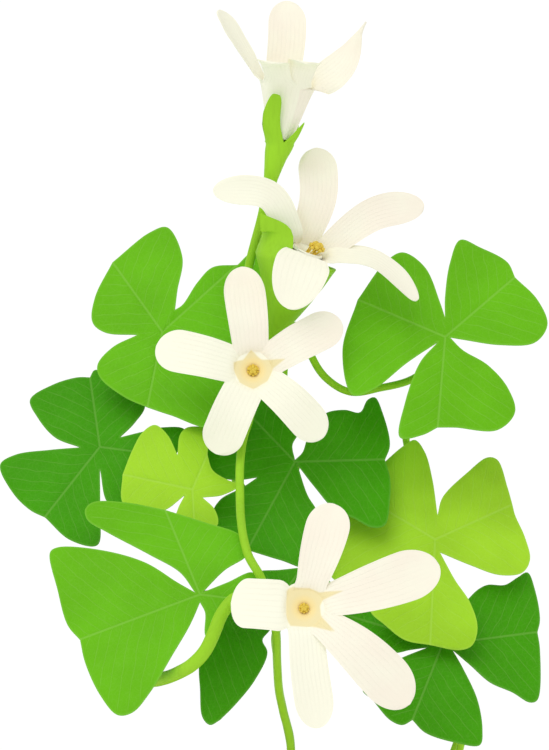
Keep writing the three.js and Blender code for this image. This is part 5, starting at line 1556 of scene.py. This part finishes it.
@shared("silky petal")
def petal_material(graph):
    """Petals of cream with faint lengthways veins. The pinkish tint of the petals on a bloom's lit side is
    painted light, and the tan round the throat is partly its own colour and partly painted shade.
    """
    settings = bpy.context.scene.shamrock_blooms
    cream, blush, tan, halo = (tuple(getattr(settings, name)) for name in ("cream", "blush", "tan", "halo"))
    graph.gloss(roughness=0.6, specular=0.1)
    veins_across, vein_wander = 4.5, 0.35
    wander = graph.noise(scale=160.0, detail=1.0)
    phase = graph.times(wander, vein_wander, graph.times(graph.layer("side"), veins_across))
    vein = graph.line(graph.math("PINGPONG", phase, 0.5), full=0.03, none=0.13)
    vein = graph.times(vein, graph.fade(graph.layer("reach"), 0.55, 1.0, 1.0, 0.1))
    # Painted light: the petals on the lit side of a bloom are mixed towards the pinkish colour.
    base = graph.mix(graph.layer("blush"), cream, blush)
    cloud = graph.noise(scale=130.0, detail=2.0)
    base = graph.specked(base, cloud, 0.35, 0.7, strength=0.5, other=shaded(cream, 1.02))
    base = graph.mix(graph.times(vein, 0.13), base, shaded(cream, 0.88))
    # The tan is partly the throat's own colour and partly painted shade in the throat and between the petals.
    throat_tan_shade = graph.specked(tan, graph.layer("deep"), 0.5, 1.0, strength=0.8, other=halo)
    base = graph.mix(graph.fade(graph.layer("star"), -0.25, 0.2), base, throat_tan_shade)
    silk = graph.noise(scale=4200.0, detail=2.0)
    height = graph.times(vein, -0.5, graph.times(silk, 0.2))
    return graph.finish(base, height, depth=0.05, roughness=graph.fade(silk, 0.3, 0.7, 0.52, 0.68))


@shared("pollen gold")
def heart_material(graph):
    """Golden style and anthers, dusty with pollen."""
    gold = tuple(bpy.context.scene.shamrock_blooms.gold)
    graph.gloss(roughness=0.7, specular=0.3)
    dust = graph.noise(scale=5200.0, detail=3.0)
    base = graph.mix(graph.layer("tip"), shaded(gold, 1.12), gold)
    base = graph.specked(base, dust, 0.4, 0.7, strength=0.3, other=shaded(gold, 0.85))
    return graph.finish(base, dust, depth=0.08)


@shared("fired clay")
def clay_material(graph):
    """Fired clay: turning lines, grain and pale mineral bloom low down."""
    clay = tuple(bpy.context.scene.shamrock_pot.clay)
    graph.gloss(roughness=0.85, specular=0.25)
    coarse = graph.noise(scale=1400.0, detail=4.0)
    fine = graph.noise(scale=5200.0, detail=2.0)
    lines = graph.noise(scale=900.0, detail=2.0, vector=graph.stretched(0.03, 0.03, 1.0))
    cloud = graph.noise(scale=38.0, detail=4.0)
    base = graph.mottled(clay, cloud, 0.35, 0.7, dark=0.86, light=1.12)
    base = graph.specked(base, coarse, 0.55, 0.75, strength=0.4, other=shaded(clay, 0.7))
    height_up = graph.add("ShaderNodeSeparateXYZ", {"Vector": graph.place()}, "Z")
    low_down = graph.line(height_up, full=0.002, none=0.03)
    patches = graph.fade(graph.noise(scale=90.0, detail=4.0), 0.45, 0.7)
    bloom = graph.times(patches, graph.math("ADD", low_down, 0.12))
    base = graph.mix(graph.math("MINIMUM", bloom, 0.8), base, tinged(clay, (0.86, 0.78, 0.7), 0.45))
    relief = graph.times(lines, 0.6, graph.times(coarse, 0.5, fine))
    return graph.finish(base, relief, depth=0.12, roughness=graph.fade(coarse, 0.3, 0.7, 0.78, 0.95))


@shared("potting soil")
def soil_material(graph):
    """Dark crumbly soil with lighter fibres."""
    soil = tuple(bpy.context.scene.shamrock_pot.soil)
    graph.gloss(roughness=0.95, specular=0.15)
    fibres = graph.noise(scale=1900.0, detail=4.0)
    clump = graph.noise(scale=260.0, detail=3.0)
    base = graph.mottled(soil, clump, 0.35, 0.68, dark=0.6, light=1.35)
    base = graph.specked(base, fibres, 0.6, 0.75, strength=0.6, other=shaded(soil, 2.2))
    base = graph.mix(graph.layer("tone"), base, shaded(soil, 1.9))
    return graph.finish(base, graph.math("ADD", fibres, clump), depth=0.35)


@shared("pale floor")
def floor_material(graph):
    """Matt pale floor with the faintest mottling."""
    settings = bpy.context.scene.shamrock_stage
    graph.gloss(roughness=0.9, specular=0.1)
    graph.shader.inputs["Emission Color"].default_value = WHITE
    graph.shader.inputs["Emission Strength"].default_value = settings.glow
    cloud = graph.noise(scale=3.0, detail=2.0)
    base = graph.mottled(tuple(settings.floor_colour), cloud, 0.3, 0.7, dark=0.99, light=1)
    return graph.finish(base, graph.noise(scale=300.0, detail=2.0), depth=0.02)


class SHAMROCK_OT_front_leaves(bpy.types.Operator):
    """Build the nine leaves that face the front"""
    bl_idname = "shamrock.front_leaves"
    bl_label = "Front leaves"

    def execute(self, context):
        for number, leaf in LEAVES.items():
            front_leaf(number, leaf)
        return {"FINISHED"}


class SHAMROCK_OT_spun_leaves(bpy.types.Operator):
    """Build the small leaf on the arched stalk and the leaves at the back"""
    bl_idname = "shamrock.spun_leaves"
    bl_label = "Rear leaves"

    def execute(self, context):
        for number, leaf in {10: ARCHED_LEAF, **REAR_LEAVES}.items():
            spun_leaf(number, leaf)
        return {"FINISHED"}


class SHAMROCK_OT_leaf_stalks(bpy.types.Operator):
    """Build the stalks of leaves 1 to 10"""
    bl_idname = "shamrock.leaf_stalks"
    bl_label = "Leaf stalks"

    def execute(self, context):
        for number, leaf in {**LEAVES, 10: ARCHED_LEAF}.items():
            body = Body()
            if leaf is ARCHED_LEAF:
                self.arched_stalk(body, context.scene.shamrock_stems)
            else:
                leaf_stalk(body, leaf, leaf)
            body.make(f"stalk_{number}", stem_material(), f"leaf_{number}_stalk")
        return {"FINISHED"}

    def arched_stalk(self, body, settings):
        """The stalk that thickens once it has left the column."""
        places = stalk_places(ARCHED_LEAF, ARCHED_LEAF)
        thin = len(places) - 1 - len(ARCHED_LEAF["route"])
        radii = [settings.radius / MM] * thin + [ARCHED_STALK_RADIUS] * (len(places) - thin)
        path = Path(places, radii)
        sweep(body, path, path.value, settings.sides)


class SHAMROCK_OT_rear_stems(bpy.types.Operator):
    """Build the two branching stems that carry the leaves at the back"""
    bl_idname = "shamrock.rear_stems"
    bl_label = "Rear stems"

    def execute(self, context):
        for side, stalks in REAR_STEMS.items():
            body = Body()
            for stalk in stalks:
                leaf_stalk(body, REAR_LEAVES[stalk["leaf"]], stalk)
            body.make(f"branching_stem_{side}", stem_material(), f"rear_stem_{side}")
        return {"FINISHED"}


class SHAMROCK_OT_flower_stem(bpy.types.Operator):
    """Build the flower stem with the stalk, cup and sepals of each bloom"""
    bl_idname = "shamrock.flower_stem"
    bl_label = "Flower stem"

    def execute(self, context):
        scape = Path(out_of_soil(*SCAPE_FOOT) + [sight(*place) for place in SCAPE_ROUTE])

        def radius_at(share):
            return SCAPE_RADIUS * (1 + SCAPE_SWELL * math.exp(-share * scape.length / FOOT_SWELL_SPAN))

        body = Body()
        sweep(body, scape, radius_at, context.scene.shamrock_stems.sides)
        for bloom in BLOOMS.values():
            calyx(body, bloom)
        body.make("scape", stem_material(), "flower_stem")
        return {"FINISHED"}


class SHAMROCK_OT_petals(bpy.types.Operator):
    """Build the five petals of each bloom, which overlap in its tube"""
    bl_idname = "shamrock.petals"
    bl_label = "Petals"

    def execute(self, context):
        for number, bloom in BLOOMS.items():
            body = Body("star", "blush", "reach", "side", "deep")
            place = Bloom(bloom)
            for index in range(len(bloom["petals"])):
                petal(body, bloom, place, index)
            throat(body, bloom, place)
            body.make(f"petals_{number}", petal_material(), f"bloom_{number}_petals")
        return {"FINISHED"}


class SHAMROCK_OT_hearts(bpy.types.Operator):
    """Build the golden style and anthers of each bloom"""
    bl_idname = "shamrock.hearts"
    bl_label = "Hearts"

    def execute(self, context):
        for number, bloom in BLOOMS.items():
            bloom_heart(number, bloom)
        return {"FINISHED"}


class SHAMROCK_OT_pot(bpy.types.Operator):
    """Build the clay pot with its rim band and drain holes"""
    bl_idname = "shamrock.pot"
    bl_label = "Pot"

    def execute(self, context):
        corners = [
            (POT_AXIS_RADIUS, 0), (POT_FOOT_RADIUS, 0), (POT_BODY_RADIUS, POT_RIM_FOOT - POT_TAPER),
            (POT_RIM_RADIUS - POT_TAPER, POT_RIM_FOOT), (POT_RIM_RADIUS, POT_HEIGHT),
            (POT_MOUTH_RADIUS, POT_HEIGHT), (POT_MOUTH_RADIUS - POT_TAPER, POT_RIM_FOOT),
            (POT_FOOT_RADIUS - POT_WALL, POT_FLOOR), (POT_AXIS_RADIUS, POT_FLOOR),
        ]
        body = Body()
        turned_pot(body, rounded(corners, context.scene.shamrock_pot.rounding / MM, POT_ROW_STEP))
        self.drill(body.make("clay_pot", clay_material(), "pot"))
        return {"FINISHED"}

    def drill(self, pot):
        """Cuts the drain holes through the floor of the pot. They widen towards its underside."""
        rows = [
            (-DRAIN_OVERSHOOT, DRAIN_RADIUS + DRAIN_OVERSHOOT), (DRAIN_OVERSHOOT, DRAIN_RADIUS),
            (POT_FLOOR + DRAIN_OVERSHOOT, DRAIN_RADIUS),
        ]
        drills = Body()
        for angle in turns(DRAIN_COUNT):
            x, y, _ = around(DRAIN_REACH, angle + math.pi / 2)
            loft(drills, [
                ring(Vector((x, y, height)), Vector((0, 0, 1)), Vector((1, 0, 0)), radius, DRAIN_SIDES)
                for height, radius in rows
            ])
        cutter = in_scene("drills", mesh_of("drills", drills.points, drills.faces))
        cut = pot.modifiers.new("drain holes", "BOOLEAN")
        cut.operation = "DIFFERENCE"
        cut.solver = "EXACT"
        cut.object = cutter
        drilled = bpy.data.meshes.new_from_object(pot.evaluated_get(bpy.context.evaluated_depsgraph_get()))
        pot.modifiers.remove(cut)
        bpy.data.objects.remove(cutter)
        pot.data = drilled
        pot.data.shade_smooth()
        pot.data.set_sharp_from_angle(angle=POT_SMOOTH_ANGLE)


class SHAMROCK_OT_soil(bpy.types.Operator):
    """Build the soil: an uneven bed with loose crumbs on it"""
    bl_idname = "shamrock.soil"
    bl_label = "Soil"

    def execute(self, context):
        body = Body("tone")
        self.bed(body)
        self.crumbs(body, context.scene.shamrock_pot.crumbs)
        body.make("potting_soil", soil_material(), "soil")
        return {"FINISHED"}

    def bumpy_top(self, x, y):
        """The height of the uneven soil at a place."""
        lumps = 0
        for scale, layer, height in SOIL_LUMPS:
            lumps += noise.noise(Vector((x, y, layer)) * scale) * height
        cell = noise.voronoi(Vector((x, y, 0)) * SOIL_CELL_SCALE)[0][0]
        edge = smoothstep(SOIL_RADIUS, SOIL_RADIUS - SOIL_LEVEL_EDGE, math.hypot(x, y))
        return soil_top(x, y) + (lumps + SOIL_CELL_MIDDLE - cell) * edge - SOIL_SINK

    def bed(self, body):
        rows = [
            (SOIL_GAP, SOIL_FOOT), (POT_FOOT_RADIUS - POT_WALL - SOIL_GAP, SOIL_FOOT),
            (POT_MOUTH_RADIUS - POT_TAPER - SOIL_GAP, POT_RIM_FOOT), (SOIL_RADIUS, SOIL_EDGE - SOIL_SKIRT),
        ]
        angles = turns(SOIL_SIDES)
        rings = [[around(radius, angle, height) for angle in angles] for radius, height in rows]
        for step in range(SOIL_ROWS):
            radius = SOIL_RADIUS * (1 - step / SOIL_ROWS)
            flat = [(math.cos(angle) * radius, math.sin(angle) * radius) for angle in angles]
            rings.append([Vector((x, y, self.bumpy_top(x, y))) for x, y in flat])
        loft(body, rings)

    def crumbs(self, body, count):
        """Scatters crumbs of soil, clear of every stalk."""
        chance = random.Random(CRUMB_SEED)
        noise.seed_set(CRUMB_SEED)
        feet = [leaf["foot"] for leaf in (*LEAVES.values(), ARCHED_LEAF)]
        feet += [stalks[0]["foot"] for stalks in REAR_STEMS.values()] + [SCAPE_FOOT]
        placed = 0
        while placed < count:
            reach = math.sqrt(chance.random()) * (SOIL_RADIUS - CRUMB_FROM_WALL)
            angle = chance.random() * 2 * math.pi
            x, y = math.cos(angle) * reach, math.sin(angle) * reach
            size = CRUMB_LEAST + CRUMB_RANGE * chance.random() ** 3
            if min(math.hypot(x - fx, y - fy) for fx, fy in feet) < size + CRUMB_FROM_STALK:
                continue
            centre = Vector((x, y, self.bumpy_top(x, y) + size * CRUMB_RISE))
            axis = Vector([chance.uniform(-1, 1) for _ in range(3)]).normalized()
            start = axis.orthogonal().normalized()
            rings = []
            for turn in CRUMB_TURNS:
                middle = centre + axis * (-math.cos(turn) * size * CRUMB_FLATNESS)
                row = ring(middle, axis, start, math.sin(turn) * size, CRUMB_SIDES)
                moves = [noise.noise_vector(point * CRUMB_NOISE_SCALE) * size * CRUMB_NOISE for point in row]
                rings.append([point + move for point, move in zip(row, moves)])
            loft(body, rings, tone=max(0.0, chance.uniform(*CRUMB_TONES)))
            placed += 1


class SHAMROCK_OT_stage(bpy.types.Operator):
    """Build the floor, the light and the camera"""
    bl_idname = "shamrock.stage"
    bl_label = "Stage"

    def execute(self, context):
        settings = context.scene.shamrock_stage
        half = settings.floor / 2
        mesh = bpy.data.meshes.new("floor")
        corners = [(-half, -half, 0), (half, -half, 0), (half, half, 0), (-half, half, 0)]
        mesh.from_pydata(corners, [], [(0, 1, 2, 3)])
        mesh.materials.append(floor_material())
        floor = in_scene("floor", mesh)
        world = bpy.data.worlds.new("surroundings")
        world.use_nodes = True
        background = world.node_tree.nodes["Background"]
        background.inputs["Color"].default_value = WHITE
        background.inputs["Strength"].default_value = settings.sky
        context.scene.world = world
        lamp = bpy.data.lights.new("key light", "SUN")
        lamp.energy = settings.key
        lamp.angle = settings.key_width
        in_scene("key light", lamp).rotation_euler = KEY_AIM.to_track_quat("-Z", "Y").to_euler()
        context.scene.view_settings.view_transform = "Standard"
        lens = bpy.data.cameras.new("camera")
        lens.lens = settings.lens
        lens.sensor_width = PICTURE_HEIGHT / EYE_DISTANCE * settings.lens
        lens.clip_start = CLIP_NEAR
        lens.clip_end = CLIP_FAR
        camera = in_scene("camera", lens)
        camera.location = EYE * MM
        camera.rotation_euler = (math.pi / 2 - EYE_RISE, 0, 0)
        context.scene.camera = camera
        return {"FINISHED"}


class SHAMROCK_PT_panel(bpy.types.Panel):
    """The steps that build the plant, and their sizes and colours"""
    bl_idname = "SHAMROCK_PT_panel"
    bl_label = "Potted Shamrock"
    bl_space_type = "VIEW_3D"
    bl_region_type = "UI"
    bl_category = "Shamrock"

    def draw(self, context):
        layout = self.layout
        for operator in OPERATORS:
            layout.operator(operator.bl_idname)
        for name in SETTINGS:
            group = getattr(context.scene, name)
            box = layout.box()
            for prop in group.bl_rna.properties:
                if not prop.is_readonly and prop.identifier != "name":
                    box.prop(group, prop.identifier)


OPERATORS = (
    SHAMROCK_OT_front_leaves, SHAMROCK_OT_spun_leaves, SHAMROCK_OT_leaf_stalks, SHAMROCK_OT_rear_stems,
    SHAMROCK_OT_flower_stem, SHAMROCK_OT_petals, SHAMROCK_OT_hearts, SHAMROCK_OT_pot, SHAMROCK_OT_soil,
    SHAMROCK_OT_stage,
)
SETTINGS = {
    "shamrock_leaves": LeafSettings, "shamrock_stems": StemSettings, "shamrock_blooms": BloomSettings,
    "shamrock_pot": PotSettings, "shamrock_stage": StageSettings,
}
KINDS = (*SETTINGS.values(), *OPERATORS, SHAMROCK_PT_panel)


def register():
    for kind in KINDS:
        bpy.utils.register_class(kind)
    for name, kind in SETTINGS.items():
        setattr(bpy.types.Scene, name, PointerProperty(type=kind))


def unregister():
    for name in SETTINGS:
        delattr(bpy.types.Scene, name)
    for kind in reversed(KINDS):
        bpy.utils.unregister_class(kind)


def main():
    register()
    for operator in OPERATORS:
        group, name = operator.bl_idname.split(".")
        getattr(getattr(bpy.ops, group), name)()


if __name__ == "__main__":
    main()
